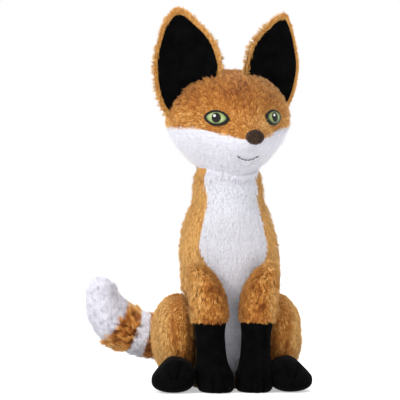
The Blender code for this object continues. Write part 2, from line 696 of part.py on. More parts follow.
def ball_grid(inset):
    columns, count = BALL_STEPS
    rows = np.linspace(POLE_SHARE, 1.0 - POLE_SHARE, count + 1)
    return inset_points(neck_form, *ring_grid(columns, rows), inset)


def make_head(finishes, head, ball):
    u, face, cover = head_grid()
    orange = head_form(u + 0.0 * cover, cover)
    thicken(solid("head_cover", orange, finishes["orange"], head, ends=(False, True)), COVER)
    held = np.abs(u) < FACE_END - FACE_TIP
    white = head_form(u[held] + 0.0 * face[:, held], face[:, held])
    thicken(solid("face_panel", white, finishes["white"], head, wrap=False, ends=(False, False)), COVER)
    cut(solid("head_stuffing", whole_head(COVER + HEAD_FILL_GAP), finishes["filling"], head), ball)
    for name, side in (("left", 1), ("right", -1)):
        eye = solid(f"eye_{name}", eye_grid(), finishes["eye"], head, ends=(True, False), side=side)
        thicken(eye, EYE_THICKNESS, outward=True)


def make_nose(finishes, head):
    columns, count = NOSE_STEPS
    u, v = ring_grid(columns, np.linspace(POLE_SHARE, 1.0 - POLE_SHARE, count + 1))
    middle = head_form(*(np.asarray(value) for value in head_place(0.0, MUZZLE_DROP - NOSE_RISE)))
    sizes = (NOSE_HALF_WIDTH, NOSE_HALF_DEPTH, NOSE_HALF_DEPTH)
    x, y = oval(u, *(size * np.sin(math.pi * v) for size in sizes))
    ball = join(x, y, -NOSE_HALF_HEIGHT * np.cos(math.pi * v)) + middle
    nose = solid("nose", ball, finishes["nose"], head)
    cut(nose, cutter("nose_seat_cutter", whole_head(-FACE_GAP), head))


def make_ears(finishes, head):
    crown = cutter("ear_seat_cutter", whole_head(-EAR_HEAD_GAP), head)
    outline = closed_curve(EAR_OUTLINE_SHARES, EAR_STEPS[0]) * (EAR_WIDTH, EAR_HEIGHT)
    middle = outline.mean(axis=0)
    inner = middle + (outline - middle) * (1.0 - 2 * EAR_RIM / EAR_WIDTH)
    for name, side in (("left", 1), ("right", -1)):
        seam = pivot(f"ear_{name}_pivot", sum(ear_seam(side)) / 2, head)
        back = solid(f"ear_{name}_back", ear_grid(outline, 0.0), finishes["orange"], seam,
                     ends=(True, False), side=-side)
        cut(thicken(back, EAR_BACK_THICKNESS), crown)
        lining = solid(f"ear_{name}_lining", ear_grid(inner, FACE_GAP), finishes["velour"], seam,
                       ends=(True, False), side=-side)
        cut(thicken(lining, VELOUR, outward=True), crown)


def make_forelegs(finishes):
    leg = SHOULDER_HEIGHT + SLEEVE_RADIUS
    cuff = math.asin(CUFF_HEIGHT / leg) * 2 / math.pi
    gap = SEAM_GAP / leg
    inner = COVER + FILL_GAP
    sleeve_rows = np.linspace(cuff + gap, 1.0 - POLE_SHARE, SLEEVE_ROWS + 1)
    paw_rows = np.linspace(0.0, cuff, PAW_ROWS + 1)
    filling_rows = np.concatenate([[inner / leg], paw_rows[1:], sleeve_rows[1:]])
    for name, side in (("left", 1), ("right", -1)):
        joint = pivot(f"foreleg_{name}_pivot", shoulder(side))
        sleeve = solid(f"foreleg_{name}_sleeve", foreleg_form(*ring_grid(LEG_COLUMNS, sleeve_rows)),
                       finishes["orange"], joint, ends=(False, True), side=side)
        thicken(sleeve, COVER)
        paw = solid(f"foreleg_{name}_paw", foreleg_form(*ring_grid(LEG_COLUMNS, paw_rows)),
                    finishes["velour"], joint, ends=(True, False), side=side)
        thicken(paw, VELOUR)
        filling = inset_points(foreleg_form, *ring_grid(LEG_COLUMNS, filling_rows), inner)
        solid(f"foreleg_{name}_stuffing", filling, finishes["filling"], joint, side=side)


def make_hind_legs(finishes):
    for name, side in (("left", 1), ("right", -1)):
        joint = pivot(f"hindleg_{name}_pivot", hip(side))
        make_haunch(finishes, name, joint, side)
        make_hind_paw(finishes, name, joint, side)


def make_haunch(finishes, name, joint, side):
    columns, count = HAUNCH_STEPS
    inner = COVER + FILL_GAP
    u, v = ring_grid(columns, domed_rows(0.0, 1.0 - POLE_SHARE ** 2, count))
    cover = solid(f"haunch_{name}_cover", haunch_form(u, v), finishes["orange"], joint,
                  ends=(False, True), side=side)
    thicken(cover, COVER)
    ring = haunch_form(u[0], v[0]) * (1.0, *(2 * [1.0 - (2 * COVER + SEAM_GAP) / HAUNCH_HALF_DEPTH]))
    gusset = solid(f"haunch_{name}_gusset", disc_grid(ring, 1), finishes["orange"], joint,
                   ends=(True, False), side=side)
    thicken(gusset, COVER)
    u, v = ring_grid(columns, domed_rows(inner / HAUNCH_THICKNESS, 1.0 - POLE_SHARE ** 2, count))
    filling = inset_points(haunch_form, u, v, inner)
    solid(f"haunch_{name}_stuffing", filling, finishes["filling"], joint, side=side)


def make_hind_paw(finishes, name, joint, side):
    # each piece is cut where it meets the haunch
    columns, count = HAUNCH_STEPS
    u, v = ring_grid(columns, domed_rows(0.0, 1.0 - POLE_SHARE ** 2, count))
    seat = cutter(f"hind_paw_{name}_cutter", inset_points(haunch_form, u, v, -SEAM_GAP), joint, side)
    columns, count = HIND_PAW_STEPS
    rows = np.append(HEEL_ROW_SHARES[:-1], domed_rows(HEEL_ROW_SHARES[-1], 1.0 - POLE_SHARE ** 2, count))
    u, v = ring_grid(columns, rows)
    cover = solid(f"hind_paw_{name}_cover", hind_paw_form(u, v), finishes["velour"], joint, side=side)
    cut(thicken(cover, VELOUR), seat)
    filling = inset_points(hind_paw_form, u[1:], v[1:], VELOUR + FILL_GAP)
    cut(solid(f"hind_paw_{name}_stuffing", filling, finishes["filling"], joint, side=side), seat)


def tail_rows(start, end, count):
    # even rows along a band, and closer ones round the dome at the root or the tip
    root, tip = TAIL_CAP_SHARES[0], 1.0 - TAIL_CAP_SHARES[1]
    rows = np.linspace(max(start, root), min(end, tip), count + 1)
    if start < root:
        return np.concatenate([np.linspace(start, root, TAIL_CAP_ROWS + 1)[:-1], rows])
    if end > tip:
        return np.concatenate([rows, np.linspace(tip, end, TAIL_CAP_ROWS + 1)[1:]])
    return rows


def make_tail(finishes):
    joint = pivot("tail_pivot", tail_root())
    names = ("tail_base", "tail_white_band", "tail_brown_band", "tail_tip")
    colours = ("brown", "white", "brown", "white")
    gap = TAIL_SEAM_GAP / TAIL_REACH / 2
    filling_rows = []
    for order, (name, colour) in enumerate(zip(names, colours)):
        first, last = order == 0, order == len(names) - 1
        start = POLE_SHARE / 2 if first else TAIL_BAND_SHARES[order] + gap
        end = 1.0 - POLE_SHARE / 2 if last else TAIL_BAND_SHARES[order + 1] - gap
        rows = tail_rows(start, end, TAIL_BAND_ROWS[order])
        band = tail_form(*ring_grid(TAIL_COLUMNS, rows))
        thicken(solid(name, band, finishes[colour], joint, ends=(first, last)), COVER)
        filling_rows += list(rows if first else rows[1:])
    filling = inset_points(tail_form, *ring_grid(TAIL_COLUMNS, filling_rows), COVER + FILL_GAP)
    solid("tail_stuffing", filling, finishes["filling"], joint)


def make_fox():
    clear_scene()
    finishes = {
        "orange": material("orange_plush", (0.55, 0.24, 0.06), 0.95, 0.4),
        "white": material("white_plush", (0.82, 0.80, 0.88), 0.95, 0.4),
        "brown": material("brown_plush", (0.36, 0.14, 0.04), 0.95, 0.4),
        "velour": material("black_velour", (0.010, 0.010, 0.011), 0.9, 0.3),
        "eye": material("eye_felt", (0.16, 0.30, 0.10), 0.5),
        "nose": material("nose_flock", (0.09, 0.05, 0.03), 0.85),
        "filling": material("filling", (0.85, 0.85, 0.83), 0.95),
    }
    neck = pivot("neck_pivot", NECK_CENTRE)
    head = pivot("head_pivot", NECK_CENTRE, turn=HEAD_TURN)
    ball = cutter("neck_cutter", ball_grid(-MOVE_GAP), neck)
    make_torso(finishes, ball)
    make_seat(finishes)
    make_neck(finishes, neck)
    make_head(finishes, head, ball)
    make_nose(finishes, head)
    make_ears(finishes, head)
    make_forelegs(finishes)
    make_hind_legs(finishes)
    make_tail(finishes)


make_fox()
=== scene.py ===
import json
import math

import bpy
import numpy as np
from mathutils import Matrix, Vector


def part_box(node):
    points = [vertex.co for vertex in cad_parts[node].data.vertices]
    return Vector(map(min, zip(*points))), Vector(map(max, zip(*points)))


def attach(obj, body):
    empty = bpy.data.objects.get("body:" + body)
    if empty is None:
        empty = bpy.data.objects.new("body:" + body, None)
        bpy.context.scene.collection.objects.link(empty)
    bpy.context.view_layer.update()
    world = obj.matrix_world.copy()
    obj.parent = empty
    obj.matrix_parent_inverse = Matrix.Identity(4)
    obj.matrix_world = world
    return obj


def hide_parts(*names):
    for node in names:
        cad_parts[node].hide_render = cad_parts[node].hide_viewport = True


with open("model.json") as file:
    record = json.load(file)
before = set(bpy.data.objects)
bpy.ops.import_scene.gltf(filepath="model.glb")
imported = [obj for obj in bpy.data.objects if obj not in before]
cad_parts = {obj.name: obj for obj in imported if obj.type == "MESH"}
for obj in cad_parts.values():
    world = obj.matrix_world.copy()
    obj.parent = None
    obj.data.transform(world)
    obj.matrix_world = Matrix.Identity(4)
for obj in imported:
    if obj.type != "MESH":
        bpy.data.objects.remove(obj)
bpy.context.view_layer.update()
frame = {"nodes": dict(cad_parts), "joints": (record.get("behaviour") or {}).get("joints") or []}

print("frame loaded:", len(frame["nodes"]), "nodes")

# The fox looks along -Y and left is its own left.
jointPlace = {joint["child"]: np.array(joint["pos_m"], float) for joint in frame["joints"]}
neckPlace = jointPlace["head"]
fullTurn = 2 * math.pi
sides = (("left", 1), ("right", -1))


# Numbers as curves and noise

def clamp(value):
    return np.clip(value, 0.0, 1.0)


def ease(value, start, end):
    # 0 before start, 1 after end, 3t^2 - 2t^3 between them
    share = clamp((np.asarray(value, float) - start) / (end - start))
    return share * share * (3 - 2 * share)


def fade(value, start, end):
    return 1 - ease(value, start, end)


def mix(first, second, share):
    return first + (second - first) * share


def xyz(x, y, z):
    # points from their coordinates, which may be arrays or single numbers
    return np.stack(np.broadcast_arrays(x, y, z), axis=-1)


def unit(vectors):
    # each vector divided by its own length
    return vectors / np.maximum(np.linalg.norm(vectors, axis=-1, keepdims=True), 1e-12)


def smoothThrough(table, at):
    # cubic Hermite curve through the rows of a table, whose first column is the position
    rows = np.asarray(table, float)
    place = rows[:, 0]
    slope = np.gradient(rows[:, 1:], place, axis=0)
    at = np.clip(np.asarray(at, float), place[0], place[-1])
    left = np.clip(np.searchsorted(place, at, side="right") - 1, 0, len(place) - 2)
    width = (place[left + 1] - place[left])[..., None]
    t = (at - place[left])[..., None] / width
    first = (1 + 2 * t) * (1 - t) ** 2 * rows[left, 1:] + t * (1 - t) ** 2 * width * slope[left]
    second = t ** 2 * (3 - 2 * t) * rows[left + 1, 1:] + t ** 2 * (t - 1) * width * slope[left + 1]
    return first + second


def closedCurve(points, at):
    # Catmull-Rom loop through an outline's points; at runs from 0 to 1 once round it
    points = np.asarray(points, float)
    step = (np.asarray(at, float) % 1.0) * len(points)
    left = np.floor(step).astype(int)
    t = (step - left)[..., None]
    before, start, end, after = (points[(left + k) % len(points)] for k in (-1, 0, 1, 2))
    bend = 2 * start + t * (end - before) + t ** 2 * (2 * before - 5 * start + 4 * end - after)
    return 0.5 * (bend + t ** 3 * (3 * start - before - 3 * end + after))


def hashOf(cells, salt):
    # a number from 0 to 1 for each row of whole numbers, from products with large odd numbers
    mixed = np.full(cells.shape[:-1], 374761393 + salt * 668265263, np.uint64)
    for column in np.moveaxis(cells, -1, 0):
        mixed = (mixed ^ column.astype(np.int64).astype(np.uint64)) * np.uint64(0x9E3779B97F4A7C15)
        mixed ^= mixed >> np.uint64(29)
    return (mixed >> np.uint64(40)) / float(1 << 24)


def noise(points, size, salt=0):
    # value noise from 0 to 1: random corners of cubes of this size, blended smoothly inside them
    scaled = points / size
    corner = np.floor(scaled).astype(np.int64)
    t = ease(scaled - corner, 0.0, 1.0)
    total = 0.0
    for place in np.ndindex(2, 2, 2):
        total = total + np.prod(np.abs(1 - np.array(place) - t), axis=-1) * hashOf(corner + place, salt)
    return total


def warp(points, size, amount, salt=0):
    # points moved by three noises, each from -amount to amount
    return points + amount * (2 * np.stack([noise(points, size, salt + k) for k in range(3)], axis=-1) - 1)


# Materials

def setUp(node, **settings):
    # a value for the input of that name, or for the node's own property
    for name, value in settings.items():
        if name in node.inputs:
            node.inputs[name].default_value = value
        else:
            setattr(node, name, value)


def addNode(tree, kind, **settings):
    node = tree.nodes.new("ShaderNode" + kind)
    setUp(node, **settings)
    return node


def link(tree, *wires):
    # each wire is a node, its output, the next node and that one's input
    for source, output, target, entry in wires:
        tree.links.new(source.outputs[output], target.inputs[entry])


def newMaterial(name, roughness, specular=0.5, sheen=0.0, sheenRoughness=0.5):
    made = bpy.data.materials.new(name)
    made.use_nodes = True
    shader = made.node_tree.nodes["Principled BSDF"]
    setUp(shader, **{"Roughness": roughness, "Specular IOR Level": specular, "Sheen Weight": sheen,
                     "Sheen Roughness": sheenRoughness})
    return made, made.node_tree, shader


def colourRamp(tree, stops):
    node = addNode(tree, "ValToRGB")
    while len(node.color_ramp.elements) < len(stops):
        node.color_ramp.elements.new(0.5)
    for element, (place, colour) in zip(node.color_ramp.elements, stops):
        element.position = place
        element.color = (*colour, 1.0)
    return node


def pileMaterial(name, stops, rootPaintedShade, sheen, sheenTint=(1.0, 1.0, 1.0)):
    # u of the map is a strand's own tint, v runs from its root to its tip; towards the root the colour is darkened,
    # a painted shade for the shade deep in the pile
    made, tree, shader = newMaterial(name, 0.72, 0.12, sheen)
    place = addNode(tree, "UVMap", uv_map="OFBake")
    split = addNode(tree, "SeparateXYZ")
    ramp = colourRamp(tree, stops)
    # painted shade: the colour is scaled down to this share at the root, and is full from 0.85 of the way to the
    # tip
    along = addNode(tree, "MapRange", interpolation_type="SMOOTHSTEP", **{"To Min": rootPaintedShade, "From Max": 0.85})
    shade = addNode(tree, "VectorMath", operation="SCALE")
    link(tree, (place, "UV", split, "Vector"), (split, "X", ramp, "Fac"), (split, "Y", along, "Value"),
         (ramp, "Color", shade, 0), (along, "Result", shade, "Scale"), (shade, "Vector", shader, "Base Color"))
    setUp(shader, **{"Sheen Tint": (*sheenTint, 1.0)})
    return made


def velourMaterial(name, dark, light, size, sheen):
    # short pile: patches of pile that lie over, and a fine grain of fibre ends
    made, tree, shader = newMaterial(name, 0.9, 0.02, sheen, 0.35)
    place = addNode(tree, "TexCoord")
    broad = addNode(tree, "TexNoise", Scale=size, Detail=3.0, Roughness=0.6)
    grain = addNode(tree, "TexNoise", Scale=size * 14, Detail=2.0, Roughness=0.7)
    blend = addNode(tree, "Math", operation="MULTIPLY")
    ramp = colourRamp(tree, ((0.12, dark), (0.42, light)))
    bump = addNode(tree, "Bump", Strength=0.5, Distance=0.0006)
    link(tree, (place, "Object", broad, "Vector"), (place, "Object", grain, "Vector"),
         (broad, "Fac", blend, 0), (grain, "Fac", blend, 1), (blend, "Value", ramp, "Fac"),
         (ramp, "Color", shader, "Base Color"), (grain, "Fac", bump, "Height"), (bump, "Normal", shader, "Normal"))
    return made


def threadMaterial(name, colour, sheen):
    # embroidery thread: fine ridges of twist along the thread
    made, tree, shader = newMaterial(name, 0.45, 0.15, sheen)
    place = addNode(tree, "TexCoord")
    ridges = addNode(tree, "TexWave", Scale=900.0, Distortion=1.5)
    bump = addNode(tree, "Bump", Strength=0.4, Distance=0.0002)
    link(tree, (place, "Object", ridges, "Vector"), (ridges, "Fac", bump, "Height"),
         (bump, "Normal", shader, "Normal"))
    setUp(shader, **{"Base Color": (*colour, 1.0)})
    return made


def irisMaterial(name):
    # stitches that run from the edge to the pupil: u goes once round the eye, v from its edge inward
    made, tree, shader = newMaterial(name, 0.4)
    place = addNode(tree, "UVMap", uv_map="OFBake")
    split = addNode(tree, "SeparateXYZ")
    ramp = colourRamp(tree, irisStops)
    rays = addNode(tree, "TexWave", Scale=4 * math.pi)
    shade = addNode(tree, "Mix", data_type="RGBA", blend_type="MULTIPLY", Factor=0.35)
    link(tree, (place, "UV", split, "Vector"), (place, "UV", rays, "Vector"), (split, "Y", ramp, "Fac"),
         (ramp, "Color", shade, "A"), (rays, "Color", shade, "B"), (shade, "Result", shader, "Base Color"))
    return made


irisStops = (
    (0.0, (0.04, 0.07, 0.015)), (0.18, (0.23, 0.3, 0.08)), (0.44, (0.34, 0.42, 0.14)),
    (0.66, (0.14, 0.18, 0.035)), (1.0, (0.06, 0.06, 0.015)),
)
orangeStops = (
    (0.0, (0.16, 0.034, 0.006)), (0.3, (0.4, 0.118, 0.02)),
    (0.6, (0.68, 0.28, 0.052)), (1.0, (0.95, 0.56, 0.19)),
)
whiteStops = ((0.0, (0.58, 0.555, 0.61)), (0.45, (0.85, 0.835, 0.9)), (1.0, (0.95, 0.945, 0.985)))
noseStops = ((0.0, (0.022, 0.011, 0.007)), (0.5, (0.085, 0.048, 0.032)), (1.0, (0.22, 0.15, 0.11)))
finishes = dict(
    orangePile=pileMaterial("orangePile", orangeStops, 0.5, 0.6, (1.0, 0.66, 0.3)),
    whitePile=pileMaterial("whitePile", whiteStops, 0.8, 0.15),
    blackVelour=velourMaterial("blackVelour", (0.0006, 0.0006, 0.0007), (0.0036, 0.0033, 0.0036), 90.0, 0.01),
    fibre=velourMaterial("fibre", (0.62, 0.62, 0.6), (0.88, 0.88, 0.86), 60.0, 0.1),
    nosePile=pileMaterial("nosePile", noseStops, 0.45, 0.05),
    darkThread=threadMaterial("darkThread", (0.006, 0.005, 0.005), 0.01),
    irisThread=irisMaterial("irisThread"),
    # white thread for the eyes' glint, a painted highlight
    whiteThread=threadMaterial("whiteThread", (0.85, 0.85, 0.83), 0.2),
    orangeBacking=velourMaterial("orangeBacking", (0.3, 0.1, 0.02), (0.55, 0.23, 0.055), 160.0, 0.1),
)
slotPile = dict(orange_plush="orangePile", brown_plush="orangePile", white_plush="whitePile", nose_flock="nosePile")
print("materials made")


# Meshes from grids and strands

def outward(form, s, t, step=1e-4):
    # the cross product of the surface's two directions, by the difference over a small step either way
    lowT, highT = clamp(t - step), clamp(t + step)
    alongS = (form(s + step, t) - form(s - step, t)) / (2 * step)
    alongT = (form(s, highT) - form(s, lowT)) / (highT - lowT)[..., None]
    return unit(np.cross(alongS, alongT))


def gridFaces(rows, columns, wrap, flip=False, first=0):
    # quads between neighbouring points of a grid, closed round its columns if wrap
    index = first + np.arange(rows * columns).reshape(rows, columns)
    after = np.roll(index, -1, axis=1)
    if not wrap:
        index, after = index[:, :-1], after[:, :-1]
    faces = np.stack([index[:-1], after[:-1], after[1:], index[1:]], axis=-1).reshape(-1, 4)
    return faces[:, ::-1] if flip else faces


def shell(form, steps, wrap, thickness):
    # an outer grid over s and t from 0 to 1, an inner one under it, and strips that close their edges
    columns, rows = steps
    s, t = np.meshgrid(np.linspace(0.0, 1.0, columns, endpoint=not wrap), np.linspace(0.0, 1.0, rows))
    outer, normal = form(s, t), outward(form, s, t)
    inner = outer - thickness * normal
    count = rows * columns
    top = np.arange(count).reshape(rows, columns)
    faces = [gridFaces(rows, columns, wrap), gridFaces(rows, columns, wrap, True, count)]
    edges = [(top[0], 1), (top[-1], -1)]
    if not wrap:
        edges += [(top[:, 0], -1), (top[:, -1], 1)]
    for edge, turn in edges:
        edge, after = (edge, np.roll(edge, -1)) if wrap else (edge[:-1], edge[1:])
        faces.append(np.stack([edge, edge + count, after + count, after], axis=-1)[:, ::turn])
    points = np.vstack([outer.reshape(-1, 3), inner.reshape(-1, 3)])
    normals = np.vstack([normal.reshape(-1, 3), -normal.reshape(-1, 3)])
    flat = np.column_stack([s.ravel(), t.ravel()])
    return points, normals, np.vstack(faces), np.vstack([flat, flat])


def makeMesh(name, points, faces, finish, body, nodes=(), slotName=None, normals=None, cornerMap=None):
    # one mesh from arrays; faces is an array of triangles
    mesh = bpy.data.meshes.new(name)
    mesh.vertices.add(len(points))
    mesh.vertices.foreach_set("co", points.astype(np.float32).ravel())
    mesh.loops.add(faces.size)
    mesh.loops.foreach_set("vertex_index", faces.astype(np.int32).ravel())
    mesh.polygons.add(len(faces))
    mesh.polygons.foreach_set("loop_start", np.arange(0, faces.size, 3, dtype=np.int32))
    mesh.polygons.foreach_set("use_smooth", np.ones(len(faces), bool))
    if cornerMap is not None:
        layer = mesh.uv_layers.new(name="OFBake")
        layer.data.foreach_set("uv", cornerMap.astype(np.float32).ravel())
    if normals is not None:
        custom = mesh.attributes.new("custom_normal", "FLOAT_VECTOR", "POINT")
        custom.data.foreach_set("vector", normals.astype(np.float32).ravel())
    mesh.materials.append(finishes[finish])
    mesh.update(calc_edges=True)
    piece = addObject(name, mesh)
    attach(piece, body)
    if nodes:
        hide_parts(*nodes)
    return piece


def addObject(name, data):
    made = bpy.data.objects.new(name, data)
    bpy.context.scene.collection.objects.link(made)
    return made


def triangles(quads):
    return np.vstack([quads[:, (0, 1, 2)], quads[:, (0, 2, 3)]])


def makeSolid(name, form, steps, finish, body, nodes=(), slotName=None):
    # rings over s and t, with one point in place of the first ring and one in place of the last
    columns, rows = steps
    s, t = np.meshgrid(np.linspace(0.0, 1.0, columns, endpoint=False), np.linspace(0.0, 1.0, rows)[1:-1])
    points = np.vstack([form(s, t).reshape(-1, 3), form(np.zeros(2), np.array([0.0, 1.0]))])
    first = (rows - 2) * columns
    index = np.arange(first).reshape(-1, columns)
    low = np.column_stack([np.full(columns, first), np.roll(index[0], -1), index[0]])
    high = np.column_stack([np.full(columns, first + 1), index[-1], np.roll(index[-1], -1)])
    faces = np.vstack([triangles(gridFaces(rows - 2, columns, True)), low, high])
    piece = makeMesh(name, points, faces, finish, body, nodes, slotName)


def makeFilling(name, form, body, ends, share=0.8):
    # loose fibre that fills a closed form between two places: each ring drawn in towards its own middle
    def inside(s, t):
        t = mix(*ends, t)
        middle = (form(0 * s, t) + form(0.5 + 0 * s, t)) / 2
        return mix(middle, form(s, t), share)

    makeSolid(name + "Inside", inside, (32, 24), "fibre", body, (name,), "filling")


def tubeForm(line, lift, radius):
    # a round thread along line(t), which gives points and the directions away from the cloth;
    # its radius is R (1 - (2t - 1)^6)^0.5, so that both ends close
    def form(s, t):
        point, away = line(t)
        ahead = unit(line(np.minimum(t + 0.01, 1.0))[0] - line(np.maximum(t - 0.01, 0.0))[0])
        side = unit(np.cross(ahead, away))
        size = radius * np.sqrt(np.maximum(1 - (2 * t - 1) ** 6, 0.0))[..., None]
        turn = (fullTurn * s)[..., None]
        return point + away * lift + size * (np.cos(turn) * side + np.sin(turn) * away)

    return form


def always(*given):
    return 1.0


def never(*given):
    return 0.0


def hanging(points, normal, s, t):
    # strands lie downward
    return np.broadcast_to(np.array([0.0, 0.0, -1.0]), points.shape)


def spreadRoots(form, count, random, keep, cells=180):
    # s and t of points spread evenly over a surface: cells picked by their area, then a place inside one
    s, t = np.meshgrid(*[np.linspace(0.0, 1.0, cells + 1)] * 2)
    points = form(s, t)
    across, up = points[:-1, 1:] - points[:-1, :-1], points[1:, :-1] - points[:-1, :-1]
    area = np.linalg.norm(np.cross(across, up), axis=-1) * keep(s[:-1, :-1], t[:-1, :-1])
    ends = np.cumsum(area.ravel())
    cell = np.searchsorted(ends, random.random(count) * ends[-1])
    row, column = np.divmod(np.minimum(cell, len(ends) - 1), cells)
    return (column + random.random(count)) / cells, (row + random.random(count)) / cells


def strands(form, pile, random, comb, tint, lengthAt, keep):
    # Each strand is a closed sliver: a root point, a ring of three points part way along, and a tip.
    # It leaves the skin along mix(normal, comb), its tip is drawn to its tuft's tip, and then it hangs.
    count, lean = pile["count"], pile["lean"]
    s, t = spreadRoots(form, count, random, keep)
    root, normal = form(s, t), outward(form, s, t)
    flow = comb(root, normal, s, t)
    flow = unit(flow - np.sum(flow * normal, axis=-1, keepdims=True) * normal)
    length = pile["length"] * mix(1 - pile["uneven"], 1.0, random.random(count)) * lengthAt(root, s, t)

    # tufts are the cells of a warped grid
    size = pile["tuft"]
    cells = np.floor(warp(root, size * 1.7, size * 0.6, 11) / size * (1.0, 1.0, pile["tuftSquash"]))
    key, member = np.unique(cells.astype(np.int64), axis=0, return_inverse=True)
    member = member.ravel()
    members = np.bincount(member)[:, None]

    def average(values):
        return np.column_stack([np.bincount(member, column) for column in values.T]) / members

    stray = pile["stray"] * (2 * np.stack([hashOf(key, salt) for salt in (1, 2, 3)], axis=-1) - 1)
    aim = unit(mix(unit(average(normal)), average(flow), lean) + stray)
    jitter = (random.random((count, 3)) * 2 - 1) * pile["jitter"]
    way = unit(mix(normal, flow, lean) + stray[member] + jitter)
    length = (length * mix(1.0, hashOf(key, 4) * 2, pile["tuftUneven"])[member])[:, None]
    pull = pile["gather"] * mix(0.6, 1.0, random.random((count, 1)))
    tip = mix(root + way * length, average(root)[member] + aim[member] * length, pull)
    tip = tip + flow * length * pile["curl"]

    # the middle stands up from the skin and arches over towards the tip
    middle = root + unit(normal * (1 - lean) * 1.15 + way * 0.45) * length * 0.5
    middle = mix(middle, mix(root, tip, 0.5) + normal * length * 0.1, 0.5)
    side = unit(np.cross(tip - root, normal))
    roll = unit(np.cross(tip - root, side))
    width = pile["width"] * mix(0.7, 1.3, random.random((count, 1)))
    ring = [middle + width / 2 * (math.cos(turn) * side + 0.6 * math.sin(turn) * roll)
            for turn in np.radians([90.0, 210.0, 330.0])]
    points = np.stack([root - normal * pile["width"], *ring, tip], axis=1).reshape(-1, 3)
    points[:, 2] = np.maximum(points[:, 2], pile["floor"])
    ringOut = [unit(unit(point - middle) + pile["softness"] * normal) for point in ring]
    tipOut = unit(mix(unit(tip - middle), normal, 0.45))
    normals = np.stack([normal, *ringOut, tipOut], axis=1).reshape(-1, 3)
    pattern = np.array([(0, 2, 1), (0, 3, 2), (0, 1, 3), (4, 1, 2), (4, 2, 3), (4, 3, 1)])
    faces = (5 * np.arange(count)[:, None, None] + pattern).reshape(-1, 3)
    shade = pile["tint"] + pile["tintSpread"] * (random.random(count) - 0.5) + tint(root, s, t)
    shade = np.clip(shade + pile["tuftTint"] * (hashOf(key, 7)[member] - 0.5), 0.02, 0.98)
    u = shade[:, None] + np.array([0.0, -0.006, 0.006, 0.0, 0.0])
    v = np.array([0.0, 0.5, 0.5, 0.5, 1.0]) + 0 * u
    return points, normals, faces, np.stack([u, v], axis=-1).reshape(-1, 2)


def plush(name, form, wrap, pile, body, nodes, slotName, comb=hanging, tint=never, steps=(96, 72),
          lengthAt=always, keep=always):
    # a sewn cover as one closed mesh: its backing as a thin shell, and the strands that grow on it
    random = np.random.default_rng(pile["seed"])
    points, normals, quads, flat = shell(form, steps, wrap, pile["backing"])
    # the backing takes a tint below its strands' and sits low on the map, where the painted root shade darkens it
    skinMap = np.column_stack([pile["tint"] - 0.18 + 0.04 * flat[:, 0], 0.3 + 0.1 * flat[:, 1]])
    grown = strands(form, pile, random, comb, tint, lengthAt, keep)
    faces = np.vstack([triangles(quads), grown[2] + len(points)])
    piece = makeMesh(name, np.vstack([points, grown[0]]), faces, slotPile[slotName], body, nodes, slotName,
                     np.vstack([normals, grown[1]]), np.vstack([skinMap, grown[3]])[faces.ravel()])
    print("plush", name, len(faces), "triangles")


def pileOf(**changes):
    # the common long pile, with what differs on one piece
    pile = dict(count=30000, length=0.0052, uneven=0.35, tuft=0.002, tuftSquash=0.5, tuftUneven=0.4,
                gather=0.4, lean=0.54, stray=0.18, jitter=0.18, curl=0.04, width=0.00042, softness=0.75, tint=0.55,
                tintSpread=0.26, tuftTint=0.42, backing=0.0006, floor=0.0003, seed=1)
    return {**pile, **changes}


def whitePileOf(**changes):
    # the white cloth's finer and more even pile
    pile = dict(gather=0.22, tuftUneven=0.18, stray=0.12, jitter=0.26, tintSpread=0.14, tuftTint=0.14,
                tint=0.72, length=0.0046)
    return pileOf(**{**pile, **changes})


def patches(amount, size=0.011):
    # broad lighter and darker places in the pile
    return lambda points, s, t: amount * (noise(warp(points, size, size / 2, 31), size, 5) - 0.5)


# Torso

foreleg = dict(
    sleeveRadius=0.0152,
    sleeveX=jointPlace["foreleg_left"][0],
    shoulderHeight=jointPlace["foreleg_left"][2] - 0.0065,
    cuffHeight=0.058,
    cuffFade=0.012,
    pawHalfWidth=0.0165,
    pawGap=0.0002,
    pawFront=0.029,
    pawHeel=0.015,
    pawHeight=0.034,
    slant=0.01,
    rightAnkle=0.0018,       # the right leg's ankle stands out a little
    shoulderSlope=1.0,      # fall of the sleeve's top towards the bib, per length across it
    shoulderSquareness=2.3,
    cuffLift=0.0032,         # the pile of the cuff ends above its seam
    toes=(-0.3, 0.3),      # the folds between the toes, across the paw
    toeWidth=0.1,
    toeDepth=0.12,
    shares=(
        (0.0, 0.84, 0.86, 0.74), (0.1, 0.96, 0.97, 0.9), (0.35, 1.0, 1.0, 1.0), (0.48, 0.98, 0.95, 0.99),
        (0.62, 0.9, 0.86, 0.96), (0.85, 0.81, 0.6, 0.9), (1.0, 0.78, 0.47, 0.88),
    ),
)

